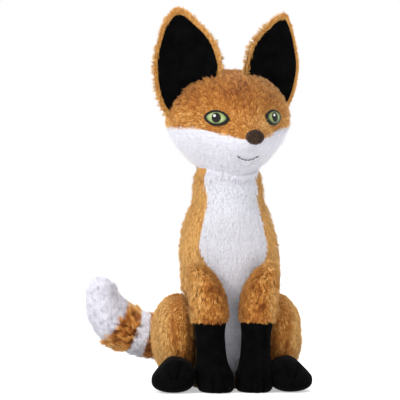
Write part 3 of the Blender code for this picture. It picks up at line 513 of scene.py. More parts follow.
torso = dict(
    height=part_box("torso_cover")[1][2],
    hipHalfWidth=0.0335,
    bellyHalfWidth=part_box("torso_cover")[1][0],
    chestDepth=0.036,
    lapDepth=0.026,
    backDepth=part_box("torso_cover")[1][1],
    hipDrop=0.009,
    hipFade=0.008,
    chestFade=0.044,
    neckFade=0.03,
    rimRadius=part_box("neck_cover")[1][0] + 0.003,
    haunchTop=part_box("haunch_left_cover")[1][2],
    shoulderTop=jointPlace["foreleg_left"][2] + 0.016,
    waistShift=0.002,       # the belly sags a little to its left
    waistStart=(0.4, 0.47),
    rightWaistEnd=(0.54, 0.7),
    leftWaistEnd=(0.64, 0.84),
    bibStart=0.1,
    bibTurn=0.05,           # the chest is turned a little to its left, in radians
    bibTurnStart=(0.45, 0.62),
    bibTint=0.2,
    bibShadow=0.22,          # duller between the forelegs, where little light comes in
    bibShadowEnd=(0.06, 0.1),
    shoulderPile=0.7,        # how much longer the pile is above the sleeves
    shoulderPileSize=(0.014, 0.009),
    shoulderPileRise=0.017,
    seatShare=0.93,
    seatThickness=0.0022,
    shares=(
        (0.0, 0.8, 0.72, 0.8), (0.02, 0.9, 0.84, 0.9), (0.07, 0.98, 0.96, 0.98), (0.2, 1.0, 1.0, 1.0),
        (0.4, 1.0, 1.0, 1.0), (0.56, 1.0, 1.0, 0.96), (0.66, 0.985, 1.0, 0.9), (0.75, 0.945, 1.0, 0.84),
        (0.85, 0.82, 0.96, 0.78), (0.93, 0.71, 0.86, 0.72), (1.0, 0.69, 0.8, 0.69),
    ),
    bibShares=(
        (0.0, 0.012), (0.1, 0.05), (0.22, 0.078), (0.45, 0.084), (0.53, 0.1),
        (0.6, 0.18), (0.66, 0.236), (0.78, 0.248), (0.93, 0.256), (1.0, 0.285),
    ),
)


def oval(u, halfWidth, front, back):
    # x = w sin u, y = -d cos u, with one depth in front and another behind
    depth = np.where(np.cos(u) > 0, front, back)
    return halfWidth * np.sin(u), -depth * np.cos(u)


def torsoForm(u, v):
    # ovals stacked from the seat to the neck, each width and depth from the share tables
    height = torso["height"] * v
    shares = smoothThrough(torso["shares"], v)
    widen = ease(height, torso["haunchTop"] - torso["hipDrop"], torso["haunchTop"] + torso["hipFade"])
    swell = ease(height, torso["shoulderTop"], torso["shoulderTop"] + torso["chestFade"])
    narrow = ease(height, torso["height"] - torso["neckFade"], torso["height"])
    halfWidth = shares[..., 0] * mix(torso["hipHalfWidth"], torso["bellyHalfWidth"], widen)
    front = shares[..., 1] * mix(torso["lapDepth"], torso["chestDepth"], swell)
    back = shares[..., 2] * torso["backDepth"]
    x, y = oval(u, *(mix(size, torso["rimRadius"], narrow) for size in (halfWidth, front, back)))
    sag = mix(fade(v, *torso["rightWaistEnd"]), fade(v, *torso["leftWaistEnd"]), ease(x, -0.01, 0.02))
    x = x + torso["waistShift"] * ease(v, *torso["waistStart"]) * sag
    return xyz(x, y + neckPlace[1] * narrow, height)


def bibEdge(v):
    return math.pi * smoothThrough(torso["bibShares"], v)[..., 0]


def torsoBack(s, t):
    # the orange cover: u from one edge of the bib round the back to its other edge
    edge, turn = bibEdge(t), torso["bibTurn"] * ease(t, *torso["bibTurnStart"])
    return torsoForm(mix(edge, fullTurn - edge, s) + turn, t + 0 * s)


def bibFront(s, t):
    # the white panel between the same edges, from the lap to the neck
    v = mix(torso["bibStart"], 1.0, t)
    edge, turn = bibEdge(v), torso["bibTurn"] * ease(v, *torso["bibTurnStart"])
    return torsoForm(mix(-edge, edge, s) + turn, v + 0 * s)


def half(form, which):
    # the part of a panel on one side of its middle
    return lambda s, t: form((s + which) / 2, t)


def seatForm(s, t):
    # a thin disc inside the torso's lower edge: out along its underside, and back in above
    reach = torso["seatShare"] * clamp(2.2 * np.minimum(t, 1 - t))
    x, y, z = np.moveaxis(torsoForm(fullTurn * s, 0 * s), -1, 0)
    return xyz(x * reach, y * reach, 0.0002 + torso["seatThickness"] * ease(t, 0.3, 0.7))


def overShoulders(points, s, t):
    # longer pile where the torso meets the tops of the sleeves, in a bell shape round each
    wide, high = torso["shoulderPileSize"]
    across = (np.abs(points[..., 0]) - foreleg["sleeveX"]) / wide
    above = (points[..., 2] - foreleg["shoulderHeight"] - torso["shoulderPileRise"]) / high
    return 1 + torso["shoulderPile"] * np.exp(-across ** 2 - above ** 2) * (points[..., 1] < 0)


def bibShade(points, s, t):
    shadow = torso["bibShadow"] * fade(points[..., 2], *torso["bibShadowEnd"])
    return torso["bibTint"] - shadow + 0.1 * (noise(points, 0.01, 5) - 0.5)


def makeTorso():
    for which, side in enumerate(("left", "right")):
        pile = pileOf(count=19500, seed=20 + which, tint=0.96, tuftTint=0.28, gather=0.34, tuftUneven=0.34)
        plush(f"torsoPlush_{side}", half(torsoBack, which), False, pile, "torso", ("torso_cover",), "orange_plush",
              tint=patches(0.3), steps=(32, 60), lengthAt=overShoulders)
    plush("bibPlush", bibFront, False, whitePileOf(count=15500, seed=24), "torso", ("bib_panel",), "white_plush",
          tint=bibShade, steps=(24, 60))
    makeFilling("torso_stuffing", lambda s, t: torsoForm(fullTurn * s, t), "torso", (0.03, 0.905), 0.88)
    makeSolid("seatPanel", seatForm, (48, 6), "orangeBacking", "torso", ("base_panel",), "orange_plush")


# Neck, hidden in the pile of the torso and the head

neck = dict(low=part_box("neck_cover")[0][2], high=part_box("neck_cover")[1][2], radius=0.0262, swell=0.001)


def neckForm(s, t):
    # a short sleeve: radius swelling a little half way up
    turn = fullTurn * s + math.pi
    radius = neck["radius"] + neck["swell"] * np.sin(math.pi * t)
    return xyz(radius * np.sin(turn), neckPlace[1] - radius * np.cos(turn), mix(neck["low"], neck["high"], t))


def makeNeck():
    front = bibEdge(1.0) / fullTurn
    orange = pileOf(count=4000, seed=30, tint=0.88, tuftTint=0.28)
    white = whitePileOf(count=3000, seed=31, length=0.0055)
    for name, start, end, slotName, pile in (
        ("neckPlushOrange", 0.5 + front, 1.5 - front, "orange_plush", orange),
        ("neckPlushWhite", 0.5 - front, 0.5 + front, "white_plush", white),
    ):
        plush(name, lambda s, t: neckForm(mix(start, end, s), t), False, pile, "neck", ("neck_cover",), slotName,
              steps=(32, 6), lengthAt=lambda points, s, t: mix(1.0, 0.2, ease(t, 0.6, 0.8)))


# Head

head = dict(
    turn=math.radians(12.0),
    halfWidth=0.0525,
    front=0.049,
    back=0.048,
    up=0.0414,
    down=0.05,
    rimAngle=math.radians(24.0),
    rimFade=0.01,
    rimRadius=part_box("neck_cover")[1][0] + 0.0026,
    rimTrim=0.17,            # the white face's skin starts this share above the rim, at the sides
    chinDrop=0.0045,
    chinForward=0.004,
    chinShare=0.75,          # half of the chin's width, as a share of the head's
    jawNarrowing=0.2,
    lift=0.006,
    muzzleLength=0.024,
    muzzleHalfWidth=0.02,
    muzzleHalfHeight=0.019,
    muzzleDrop=0.0175,
    cheekDrop=0.007,
    lipDrop=0.0165,
    cheekTurn=math.radians(55.0),
    cheekEnd=math.radians(102.0),
    faceEnd=math.radians(142.0),
    furrowWidth=0.007,
    furrowTint=-0.22,
    crownTint=-0.24,
    browTint=0.08,
    eyeClearing=(0.62, 0.0108, 0.017),      # share taken off the pile, and from how near to how far
    noseClearing=(0.5, 0.007, 0.016),
    mouthClearing=(0.35, 0.006, 0.014),
)
head["middle"] = head["lift"] + head["down"] * math.cos(head["rimAngle"])
turnCos, turnSin = math.cos(head["turn"]), math.sin(head["turn"])


def placeHead(points):
    # from the head's own frame, about the neck and facing -Y, to its place at rest
    x, y, z = np.moveaxis(np.asarray(points), -1, 0)
    return xyz(x * turnCos - y * turnSin, x * turnSin + y * turnCos, z) + neckPlace


def placeBack(points):
    # from a place at rest to the head's own frame
    x, y, z = np.moveaxis(points - neckPlace, -1, 0)
    return xyz(x * turnCos + y * turnSin, y * turnCos - x * turnSin, z)


def headHalfWidth(drop):
    return head["halfWidth"] * (1 - head["jawNarrowing"] * ease(drop, 0.0, head["down"]))


def headForm(u, v):
    # an ovoid from its rim to the crown: x = w sin a sin u, y = -d sin a cos u, drop = h cos a,
    # with a bell-shaped muzzle pushed forward and a chin that hangs a little
    angle = mix(head["rimAngle"], math.pi, v)
    drop = np.cos(angle) * np.where(np.cos(angle) > 0, head["down"], head["up"])
    openOut = ease(head["down"] * math.cos(head["rimAngle"]) - drop, 0.0, head["rimFade"])
    sizes = (headHalfWidth(drop), head["front"], head["back"])
    x, y = oval(u, *(mix(head["rimRadius"], size * np.sin(angle), openOut) for size in sizes))
    facing = np.cos(u) > 0
    spread = (x / head["muzzleHalfWidth"]) ** 2 + ((drop - head["muzzleDrop"]) / head["muzzleHalfHeight"]) ** 2
    muzzle = facing * np.exp(-spread) * openOut
    chin = facing * np.exp(-(np.sin(u) / head["chinShare"]) ** 2) * fade(v, 0.0, 0.2)
    y = y - head["muzzleLength"] * muzzle - head["chinForward"] * chin
    return placeHead(xyz(x, y, head["middle"] - drop - head["chinDrop"] * chin))


def headPlace(x, drop):
    # u and v of the place on the head's front that is x across and drop below its widest line
    angle = np.arccos(drop / np.where(drop > 0, head["down"], head["up"]))
    turn = np.arcsin(np.clip(x / (headHalfWidth(drop) * np.sin(angle)), -1.0, 1.0))
    return turn, (angle - head["rimAngle"]) / (math.pi - head["rimAngle"])


def cheekLine(u):
    # v of the edge between the orange cover and the white face
    turn = np.abs(u)
    drop = mix(head["lipDrop"], head["cheekDrop"], ease(turn, 0.0, head["cheekTurn"]))
    return headPlace(0.0, drop)[1] * fade(turn, head["cheekEnd"], head["faceEnd"])


def headCover(s, t):
    # the orange cover, from the cheek's edge up to the crown
    u = fullTurn * (s - 0.5)
    u = u - 0.3 * np.sin(u)
    return headForm(u, mix(cheekLine(u), 0.999, t))


def faceCover(s, t):
    # the white face, from the rim up to the cheek's edge
    u = mix(-head["faceEnd"], head["faceEnd"], s) * 0.985
    trim = head["rimTrim"] * ease(np.abs(u), 0.4, 0.9)
    return headForm(u, cheekLine(u) * mix(trim, 1.0, t))


def backward(points, normal, s, t):
    # strands lie away from the nose, and hang lower down
    nose = placeHead((0.0, -0.075, head["middle"] - head["muzzleDrop"]))
    low = fade(points[..., 2:], neckPlace[2] + head["lift"], neckPlace[2] + 0.03)
    return unit(points - nose) - np.array([0.0, 0.0, 1.0]) * (0.25 + low)


def overCheek(points, normal, s, t):
    # the same on the white face, but rising over the seam with the orange cover
    return backward(points, normal, s, t) + np.array([0.0, 0.0, 1.4]) * ease(t, 0.8, 0.98)[..., None]


def furrow(points, s, t):
    # darker down the middle of the forehead, and rustier on the crown
    brow = placeHead((0.0, -0.05, head["middle"] + 0.01))
    x, y, z = np.moveaxis(points - brow, -1, 0)
    across = np.exp(-((x * turnCos + y * turnSin) / head["furrowWidth"]) ** 2) * ease(-points[..., 1], 0.0, 0.04)
    rise = ease(z, -0.02, 0.02)
    return (patches(0.26)(points, s, t) + head["furrowTint"] * across * rise
            + mix(head["browTint"], head["crownTint"], rise))


def makeHead():
    for which, side in enumerate(("right", "left")):
        pile = pileOf(count=20500, seed=40 + which, tint=0.58, length=0.0046, width=0.0004, gather=0.34,
                      tuftSquash=0.8, tuftUneven=0.34)
        plush(f"headPlush_{side}", half(headCover, which), False, pile, "head", ("head_cover",), "orange_plush",
              backward, furrow, (40, 44), roundFeatures)
    plush("facePlush", faceCover, False, whitePileOf(count=24000, seed=44, tint=0.62), "head", ("face_panel",),
          "white_plush", overCheek, patches(0.06), (64, 28), shortAtJaw)
    makeEyes()
    makeNose()
    makeMouth()


face = dict(
    eyeSpread=0.025,
    eyeRise=0.002,
    eyeSize=(0.0182, 0.0132),
    eyeTilt=math.radians(7.0),
    eyePoint=1.25,
    irisSize=(0.0146, 0.0096),
    pupil=(0.0033, 0.004),
    glint=(0.0009, 0.001),
    glintPlace=(0.001, 0.0016),
    lift=0.0024,
    layers=dict(             # lift above the edge's own, crown, thickness and finish
        Edge=(0.0, 0.0006, 0.0022, "darkThread"),
        Iris=(0.0006, 0.0006, 0.0009, "irisThread"),
        Pupil=(0.0013, 0.0004, 0.0008, "darkThread"),
        # the glint is a painted highlight: a white patch on the pupil
        Glint=(0.0018, 0.0003, 0.0006, "whiteThread"),
    ),
    noseSize=(0.0072, 0.0058, 0.0056),
    noseRise=0.0035,
    noseForward=0.0022,
    mouthDrop=0.032,
    mouthHalfWidth=0.009,
    mouthRise=0.003,
    stitches=6,
    stitchGap=0.06,          # share of a stitch left open at each end
    thread=0.00045,
)


def onHead(x, drop, lift):
    # the point x across and drop below the widest line, lifted off the head's cover, and its direction
    u, v = headPlace(x, drop)
    away = outward(headForm, u, v)
    return headForm(u, v) + away * np.asarray(lift)[..., None], away


def clearing(points, x, drop, share, near, far):
    # 1 away from a place on the head's front, and less by this share close to it
    distance = np.linalg.norm(points - onHead(x, drop, 0.0)[0], axis=-1)
    return 1 - share * fade(distance, near, far)


def roundFeatures(points, s, t):
    # shorter pile beside the eyes and the nose, and along the mouth
    share = clearing(points, 0.0, head["muzzleDrop"] - face["noseRise"], *head["noseClearing"])
    share = share * clearing(points, 0.0, face["mouthDrop"], *head["mouthClearing"])
    for name, side in sides:
        share = share * clearing(points, side * face["eyeSpread"], -face["eyeRise"], *head["eyeClearing"])
    return share


def shortAtJaw(points, s, t):
    # the face's pile, long under the chin and short along the rim at both sides of the neck
    side, low = ease(np.abs(s - 0.5), 0.14, 0.22), fade(t, 0.05, 0.25)
    return roundFeatures(points, s, t) * (1 + low * mix(0.25, -0.6, side))


def eyeOutline(width, height, side):
    # an almond: x = w/2 cos a, z = h/2 |sin a|^p, turned so that its outer corner is higher
    def outline(s):
        turn, tilt = fullTurn * s, side * face["eyeTilt"]
        x = width / 2 * np.cos(turn)
        z = height / 2 * np.sign(np.sin(turn)) * np.abs(np.sin(turn)) ** face["eyePoint"]
        return x * math.cos(tilt) - z * math.sin(tilt), x * math.sin(tilt) + z * math.cos(tilt)

    return outline


def ovalOutline(halfWidth, halfHeight):
    return lambda s: (halfWidth * np.cos(fullTurn * s), halfHeight * np.sin(fullTurn * s))


def makePatch(name, outline, middle, lift, crown, thickness, finish, nodes=(), slotName=None):
    # from the edge (t = 0) in to the middle, lifted off the cover and crowned as 1 - r^2
    def form(s, t):
        reach = 1 - 0.998 * clamp(t)
        x, z = outline(s)
        return onHead(middle[0] + x * reach, -(middle[1] + z * reach), lift + crown * (1 - reach ** 2))[0]

    points, normals, quads, flat = shell(form, (48, 12), True, thickness)
    faces = triangles(quads)
    corners = flat[faces]
    corners[..., 0] += (corners[..., 0] < 0.5) & (corners[..., 0].max(axis=1, keepdims=True) > 0.9)
    makeMesh(name, points, faces, finish, "head", nodes, slotName, cornerMap=corners.reshape(-1, 2))


def makeEyes():
    for name, side in sides:
        middle = (side * face["eyeSpread"], face["eyeRise"])
        # the painted highlight sits up and towards the key lamp's side on both eyes
        glint = (middle[0] - face["glintPlace"][0], middle[1] + face["glintPlace"][1])
        for layer, outline, place in (
            ("Edge", eyeOutline(*face["eyeSize"], side), middle),
            ("Iris", eyeOutline(*face["irisSize"], side), middle),
            ("Pupil", ovalOutline(*face["pupil"]), middle),
            ("Glint", ovalOutline(*face["glint"]), glint),
        ):
            lift, *rest = face["layers"][layer]
            node = ((f"eye_{name}",), "eye_felt") if layer == "Edge" else ()
            makePatch(f"eye{layer}_{name}", outline, place, face["lift"] + lift, *rest, *node)


def makeNose():
    # an oval ball of flock at the muzzle's tip
    place = onHead(0.0, head["muzzleDrop"] - face["noseRise"], face["noseForward"])[0]
    width, depth, height = face["noseSize"]

    def form(s, t):
        angle, turn = math.pi * t, fullTurn * (s - 0.5)
        x, y = oval(turn, width * np.sin(angle), depth * np.sin(angle), depth * np.sin(angle))
        return placeHead(xyz(x, y, -height * np.cos(angle))) - neckPlace + place

    pile = pileOf(count=3600, seed=90, tint=0.5, length=0.0015, width=0.0003, lean=0.3, tuft=0.001,
                  gather=0.2, tuftUneven=0.2)
    plush("nosePlush", form, True, pile, "head", ("nose",), "nose_flock", steps=(32, 20))


def stitchLine(places, start, end):
    # the stretch from start to end of a smooth line through places on the head
    table = np.column_stack([np.linspace(0.0, 1.0, len(places)), places])

    def line(t):
        flat = smoothThrough(table, mix(start, end, t))
        return onHead(flat[..., 0], flat[..., 1], 0 * t)

    return line


def makeMouth():
    # one shallow curve, sewn in long stitches
    low, wide, rise = face["mouthDrop"], face["mouthHalfWidth"], face["mouthRise"]
    smile = [(x * wide, low - rise * up) for x, up in ((-1, 1), (-0.5, 0.25), (0, 0), (0.5, 0.25), (1, 1))]
    for number in range(face["stitches"]):
        ends = (number + face["stitchGap"], number + 1 - face["stitchGap"])
        line = stitchLine(smile, *(end / face["stitches"] for end in ends))
        form = tubeForm(line, face["lift"], face["thread"])
        makeSolid(f"mouthStitch_{number}", form, (8, 9), "darkThread", "head")


# Ears

ear = dict(
    width=0.0595,
    height=0.0925,
    heightShares=dict(left=0.945, right=1.0),
    tipShift=dict(left=-0.0065, right=0.0),  # how far the tip leans outward
    outsidePile=dict(left=0.45, right=0.85),  # share of the pile's length along the outer edge
    shift=-0.0028,           # both ears stand a little to its right
    outerX=0.055,
    innerX=0.0095,
    outerRise=0.008,
    innerRise=0.043,
    innerForward=0.016,
    lean=math.radians(5.0),
    cup=0.005,
    outerCurl=0.8,           # how much more the outer edge bends forward than the inner one
    backThickness=0.0034,
    rim=0.0036,
    seamShare=(0.08, 0.21),
    liningLift=0.0012,
    liningDepth=0.0016,
    liningThickness=0.0004,
    outline=(
        (-0.33, 0.0), (-0.44, 0.17), (-0.5, 0.45), (-0.45, 0.69), (-0.37, 0.86),
        (-0.23, 0.985), (-0.09, 0.98), (0.1, 0.88), (0.29, 0.76), (0.42, 0.62),
        (0.5, 0.42), (0.42, 0.24), (0.2, 0.08), (-0.05, -0.03), (-0.21, -0.05),
    ),
)


def earPlace(flat, forward, side):
    # a point across and up a right ear, pushed forward, and its edges cupped forward
    outer = np.array([-ear["outerX"], 0.0, head["middle"] + ear["outerRise"]])
    inner = np.array([-ear["innerX"], -ear["innerForward"], head["middle"] + ear["innerRise"]])
    across = unit((inner - outer) * (1.0, 1.0, 0.0))
    up = np.array([0.0, -math.sin(ear["lean"]), math.cos(ear["lean"])])
    cup = ear["cup"] * (2 * flat[..., 0] / ear["width"]) ** 2 * (1 + ear["outerCurl"] * (flat[..., 0] < 0))
    flat = flat - np.array(ear["seamShare"]) * (ear["width"], ear["height"])
    points = flat[..., :1] * across - (cup + forward)[..., None] * np.cross(up, across) + flat[..., 1:] * up
    return placeHead((points + (outer + inner) / 2) * (-side, 1.0, 1.0) + (ear["shift"], 0.0, 0.0))


def earOutline(at):
    return closedCurve(ear["outline"], at) * (ear["width"], ear["height"])


def earLens(name, side, shrink, thickness, forward):
    # t from 0 at the front's middle, out round the edge, to 1 at the back's middle
    middle = earOutline(np.linspace(0.0, 1.0, 60, endpoint=False)).mean(axis=0)

    def form(s, t):
        radius = np.sin(math.pi * np.clip(t, 0.001, 0.999)) ** 0.75
        rim = earOutline(-side * s)
        lean = ear["tipShift"][name] * rim[..., 1] / ear["height"] * ease(rim[..., 0] / ear["width"], -0.5, -0.1)
        rim = rim * (1.0, ear["heightShares"][name]) + np.stack([lean, 0 * lean], axis=-1)
        depth = forward + thickness / 2 * (np.cos(math.pi * t) * np.sqrt(np.maximum(1 - radius ** 4, 0.0)) - 1)
        return earPlace(mix(middle, rim, (radius * shrink)[..., None]), depth, side)

    return form


def makeEars():
    for name, side in sides:
        def outAndUp(points, normal, s, t):
            middle = placeHead((side * 0.033, 0.0, head["middle"] + 0.055))
            return unit(points - middle) * 0.8 + np.array([0.0, 0.007, 0.35])

        def shorterOutside(points, s, t):
            outer = ease(side * placeBack(points)[..., 0], 0.046, 0.056) * (t < 0.7)
            return mix(1.0, ear["outsidePile"][name], outer)

        pile = pileOf(count=18000, seed=50 + side, tint=0.8, length=0.0046, lean=0.3, gather=0.3,
                      width=0.0004, tuftTint=0.25)
        plush(f"earPlush_{name}", earLens(name, side, 1.0, ear["backThickness"], 0.0), True, pile, f"ear_{name}",
              (f"ear_{name}_back",), "orange_plush", outAndUp, steps=(64, 32), lengthAt=shorterOutside,
              keep=lambda s, t: ease(t, 0.29, 0.33))
        lining = earLens(name, side, 1 - 2 * ear["rim"] / ear["width"], ear["liningDepth"], ear["liningLift"])
        points, normals, quads, flat = shell(lining, (64, 28), True, ear["liningThickness"])
        makeMesh(f"earLining_{name}", points, triangles(quads), "blackVelour", f"ear_{name}",
                 (f"ear_{name}_lining",), "black_velour")


# Forelegs

def forelegForm(side):
    # ovals from the sole to the shoulder's dome, slanting inward and forward
    pawX = foreleg["pawGap"] / 2 + foreleg["pawHalfWidth"]
    shoulder, radius, cuff = foreleg["shoulderHeight"], foreleg["sleeveRadius"], foreleg["cuffHeight"]
    front = jointPlace["foreleg_left" if side > 0 else "foreleg_right"][1]

    def form(s, height):
        shares = smoothThrough(foreleg["shares"], height / foreleg["pawHeight"])
        up = ease(height, cuff - foreleg["cuffFade"], cuff + foreleg["cuffFade"])
        over = clamp((height - shoulder) / radius) ** foreleg["shoulderSquareness"]
        sleeve = radius * np.sqrt(np.maximum(1 - over, 1e-6))
        paw = (foreleg[name] for name in ("pawHalfWidth", "pawFront", "pawHeel"))
        x, y = oval(fullTurn * (s - 0.5), *(mix(shares[..., k] * size, sleeve, up) for k, size in enumerate(paw)))
        below = clamp(1 - height / shoulder)
        slope = foreleg["shoulderSlope"] * ease(height, cuff, shoulder + radius)
        height = height - slope * (radius - side * x)
        x = side * mix(foreleg["sleeveX"], pawX, below) + x
        if side < 0:
            x = x - foreleg["rightAnkle"] * ease(height, 0.014, 0.026) * fade(height, 0.05, 0.072)
        return xyz(x, y - foreleg["slant"] * below + front, height)

    return form, shoulder + radius


def toeFolds(piece, across):
    # 1 in the middle of each fold between two toes, and 0 away from it
    return clamp(sum(np.exp(-((across - toe) / piece["toeWidth"]) ** 2) for toe in piece["toes"]))


def forepawForm(form, top):
    # the sole from its middle to its edge, up the leg to the top, and in again over it
    def paw(s, t):
        height = mix(0.0003, top, clamp((t - 0.08) / 0.89))
        middle = (form(0.25 + 0 * s, height) + form(0.75 + 0 * s, height)) / 2
        turn = fullTurn * (s - 0.5)
        fold = toeFolds(foreleg, np.sin(turn)) * ease(np.cos(turn), 0.0, 0.3) * fade(height, 0.012, 0.03)
        share = ease(t, 0.0, 0.1) ** 0.5 * fade(t, 0.97, 1.0) * (1 - foreleg["toeDepth"] * fold)
        share = share * (1 - 0.1 * ease(height, foreleg["cuffHeight"], top))
        return mix(middle, form(s, height), share[..., None])

    return paw


def makeForelegs():
    for name, side in sides:
        form, top = forelegForm(side)
        body, cuff = f"foreleg_{name}", foreleg["cuffHeight"] + foreleg["cuffLift"]

        def sleeveLength(points, s, t):
            # short at the cuff and where the two sleeves face each other
            return mix(0.7, 1.0, ease(t, 0.0, 0.16)) * (1 - 0.45 * fade(side * points[..., 0], 0.006, 0.016))

        def sleevePaintedLight(points, s, t):
            # painted light: paler on the sleeve's outer side and towards its top, where light grazes the pile, over
            # broad patches
            outer = ease(side * points[..., 0], 0.02, 0.034) + 0.4 * ease(points[..., 2], 0.094, 0.116)
            return patches(0.36)(points, s, t) + 0.3 * outer

        plush(f"sleevePlush_{name}", lambda s, t: form(s, cuff + (top - cuff) * np.sin(t * math.pi / 2)), True,
              pileOf(count=18000, seed=60 + side, tint=0.42, tuft=0.0017, gather=0.34), body, (f"{body}_sleeve",),
              "orange_plush", tint=sleevePaintedLight, steps=(40, 40), lengthAt=sleeveLength)
        makeSolid(f"forepaw_{name}", forepawForm(form, cuff + 0.004), (80, 90), "blackVelour", body,
                  (f"{body}_paw",), "black_velour")
        makeFilling(f"{body}_stuffing", form, body, (0.004, top - 0.006))


# Hind legs

hindleg = dict(
    thickness=0.0277,
    halfHeight=0.0402,
    halfDepth=0.038,
    squareness=3.0,
    roundingShare=0.22,
    narrowingShare=0.1,
    tuckShare=0.24,
    discShare=0.15,          # share of the grid spent on the flat inner side
    creaseX=0.05,
    creaseHeight=0.055,
    creaseSlant=0.16,
    creaseWidth=0.0016,
    creaseStart=(0.022, 0.034),
    creaseEnd=(0.06, 0.072),
    pawHalfWidth=0.0194,
    pawHeight=0.03,
    pawX=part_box("hind_paw_left_cover")[0][0] + 0.0172,
    toe=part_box("hind_paw_left_cover")[0][1],
    heel=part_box("hind_paw_left_cover")[1][1],
    pawSquareness=0.85,
    pawSlopeShare=0.3,
    toeShift=-0.0042,        # both paws' toes point a little to its right
    toeSquareness=2.4,
    toeSinkShare=0.25,
    toeShare=0.3,
    toes=(-0.34, 0.34),
    toeWidth=0.13,
    toeDepth=0.12,
    toeLength=0.0032,        # how far the folds reach back from the toes' tips
    shares=(
        (0.0, 0.34, 0.4), (0.07, 0.58, 0.68), (0.16, 0.74, 0.88), (0.28, 0.84, 0.96),
        (0.5, 0.95, 1.0), (0.72, 1.0, 0.97), (1.0, 0.98, 0.86),
    ),
)


def haunchForm(side):
    # rings about the hip's axis: radius share = (1 - v^n)^(1/n), v across its thickness
    place = jointPlace["hindleg_left" if side > 0 else "hindleg_right"]
    power, disc = hindleg["squareness"], hindleg["discShare"]

    def form(s, t):
        u = fullTurn * s * side
        v = np.sin(np.clip((t - disc) / (1 - disc), 0.0, 0.999) * math.pi / 2)
        radius = (1 - v ** power) ** (1 / power) * np.clip(t / disc, 0.001, 1.0)
        radius = radius * mix(1 - hindleg["narrowingShare"], 1.0, ease(v, 0.0, hindleg["roundingShare"]))
        tuck = hindleg["tuckShare"] * v * ease(-radius * np.sin(u), 0.0, 1.0)
        return xyz(side * hindleg["thickness"] * (v - 0.5 - tuck), hindleg["halfDepth"] * radius * np.cos(u),
                   hindleg["halfHeight"] * radius * np.sin(u)) + place

    return form


def signedPower(value, power):
    return np.sign(value) * np.abs(value) ** power


def hindPawForm(side):
    # rings from the heel to the toes, each a rounded oval standing on the floor
    power, square, height = hindleg["pawSquareness"], hindleg["toeSquareness"], hindleg["pawHeight"]

    def form(s, t):
        u = fullTurn * s * side
        v = np.sin(np.clip(t, 0.0, 0.9995) * math.pi / 2)
        toes = clamp((v - 1) / hindleg["toeShare"] + 1)
        shares = smoothThrough(hindleg["shares"], v) * ((1 - toes ** square) ** (1 / square))[..., None]
        across, rise = -side * signedPower(np.sin(u), power), signedPower(np.cos(u), power)
        fold = toeFolds(hindleg, across) * ease(v, 0.78, 0.95) * fade(v, 0.985, 0.9999) * ease(rise, -1.0, -0.4)
        rise = (1 + rise) * (1 - hindleg["pawSlopeShare"] * ease(across, 0.0, 1.0))
        tall = shares[..., 1] * (1 - hindleg["toeDepth"] * fold)
        x = side * (hindleg["pawX"] + hindleg["pawHalfWidth"] * shares[..., 0] * across) + hindleg["toeShift"] * v
        y = mix(hindleg["heel"], hindleg["toe"], v) + hindleg["toeLength"] * fold
        return xyz(x, y, height * (tall * rise / 2 + hindleg["toeSinkShare"] * (1 - tall) * toes))

    return form


def haunchCrease(points):
    # 1 along a shallow crease down the haunch's front, where its filling gives way; the pile is shorter there and a
    # painted shade darkens it
    x, y, z = np.moveaxis(points, -1, 0)
    away = np.abs(x) - hindleg["creaseX"] - hindleg["creaseSlant"] * (z - hindleg["creaseHeight"])
    along = ease(z, *hindleg["creaseStart"]) * fade(z, *hindleg["creaseEnd"])
    return np.exp(-(away / hindleg["creaseWidth"]) ** 2) * along


def haunchPaintedLight(points, s, t):
    # painted light: golden on the outer side and above, where light grazes the pile; painted shade: rust beside the
    # forelegs and in the crease; with broad patches
    across, height = np.abs(points[..., 0]), points[..., 2]
    inner = fade(across, 0.038, 0.05) * fade(height, 0.04, 0.066)
    outer = 0.36 * ease(across, 0.049, 0.056) + 0.16 * ease(height, 0.06, 0.074)
    return patches(0.3)(points, s, t) + outer - 0.26 * inner - 0.34 * haunchCrease(points)


def shortOnTop(points, s, t):
    return 1 - 0.5 * ease(points[..., 2], 0.062, 0.078) - 0.35 * haunchCrease(points)


def makeHindLegs():
    for name, side in sides:
        body = f"hindleg_{name}"
        pile = pileOf(count=21500, seed=70 + side, tint=0.62, tuftTint=0.5)
        plush(f"haunchPlush_{name}", haunchForm(side), True, pile, body,
              (f"haunch_{name}_cover", f"haunch_{name}_gusset"), "orange_plush", tint=haunchPaintedLight,
              steps=(56, 36), lengthAt=shortOnTop)
        makeSolid(f"hindPaw_{name}", hindPawForm(side), (80, 80), "blackVelour", body,
                  (f"hind_paw_{name}_cover",), "black_velour")
        makeFilling(f"hind_paw_{name}_stuffing", hindPawForm(side), body, (0.06, 0.64))


# Tail

tail = dict(
    rootRadius=0.012,
    radius=0.0148,
    reach=0.095,
    rise=0.042,
    lane=0.0678,
    caps=(0.08, 0.16),
    tipShare=1.25,
    shares=(
        (0.0, 0.0, 0.0, 0.8), (0.24, 0.7, 0.0, 0.92), (0.5, 1.0, 0.04, 0.98), (0.73, 0.95, 0.15, 1.0),
        (0.92, 0.8, 0.36, 0.97), (1.02, 0.62, 0.66, 0.84), (1.06, 0.55, 0.94, 0.62),
    ),
    bands=(0.0, 0.4, 0.47, 0.578, 1.0),
    bandGap=0.001,
)


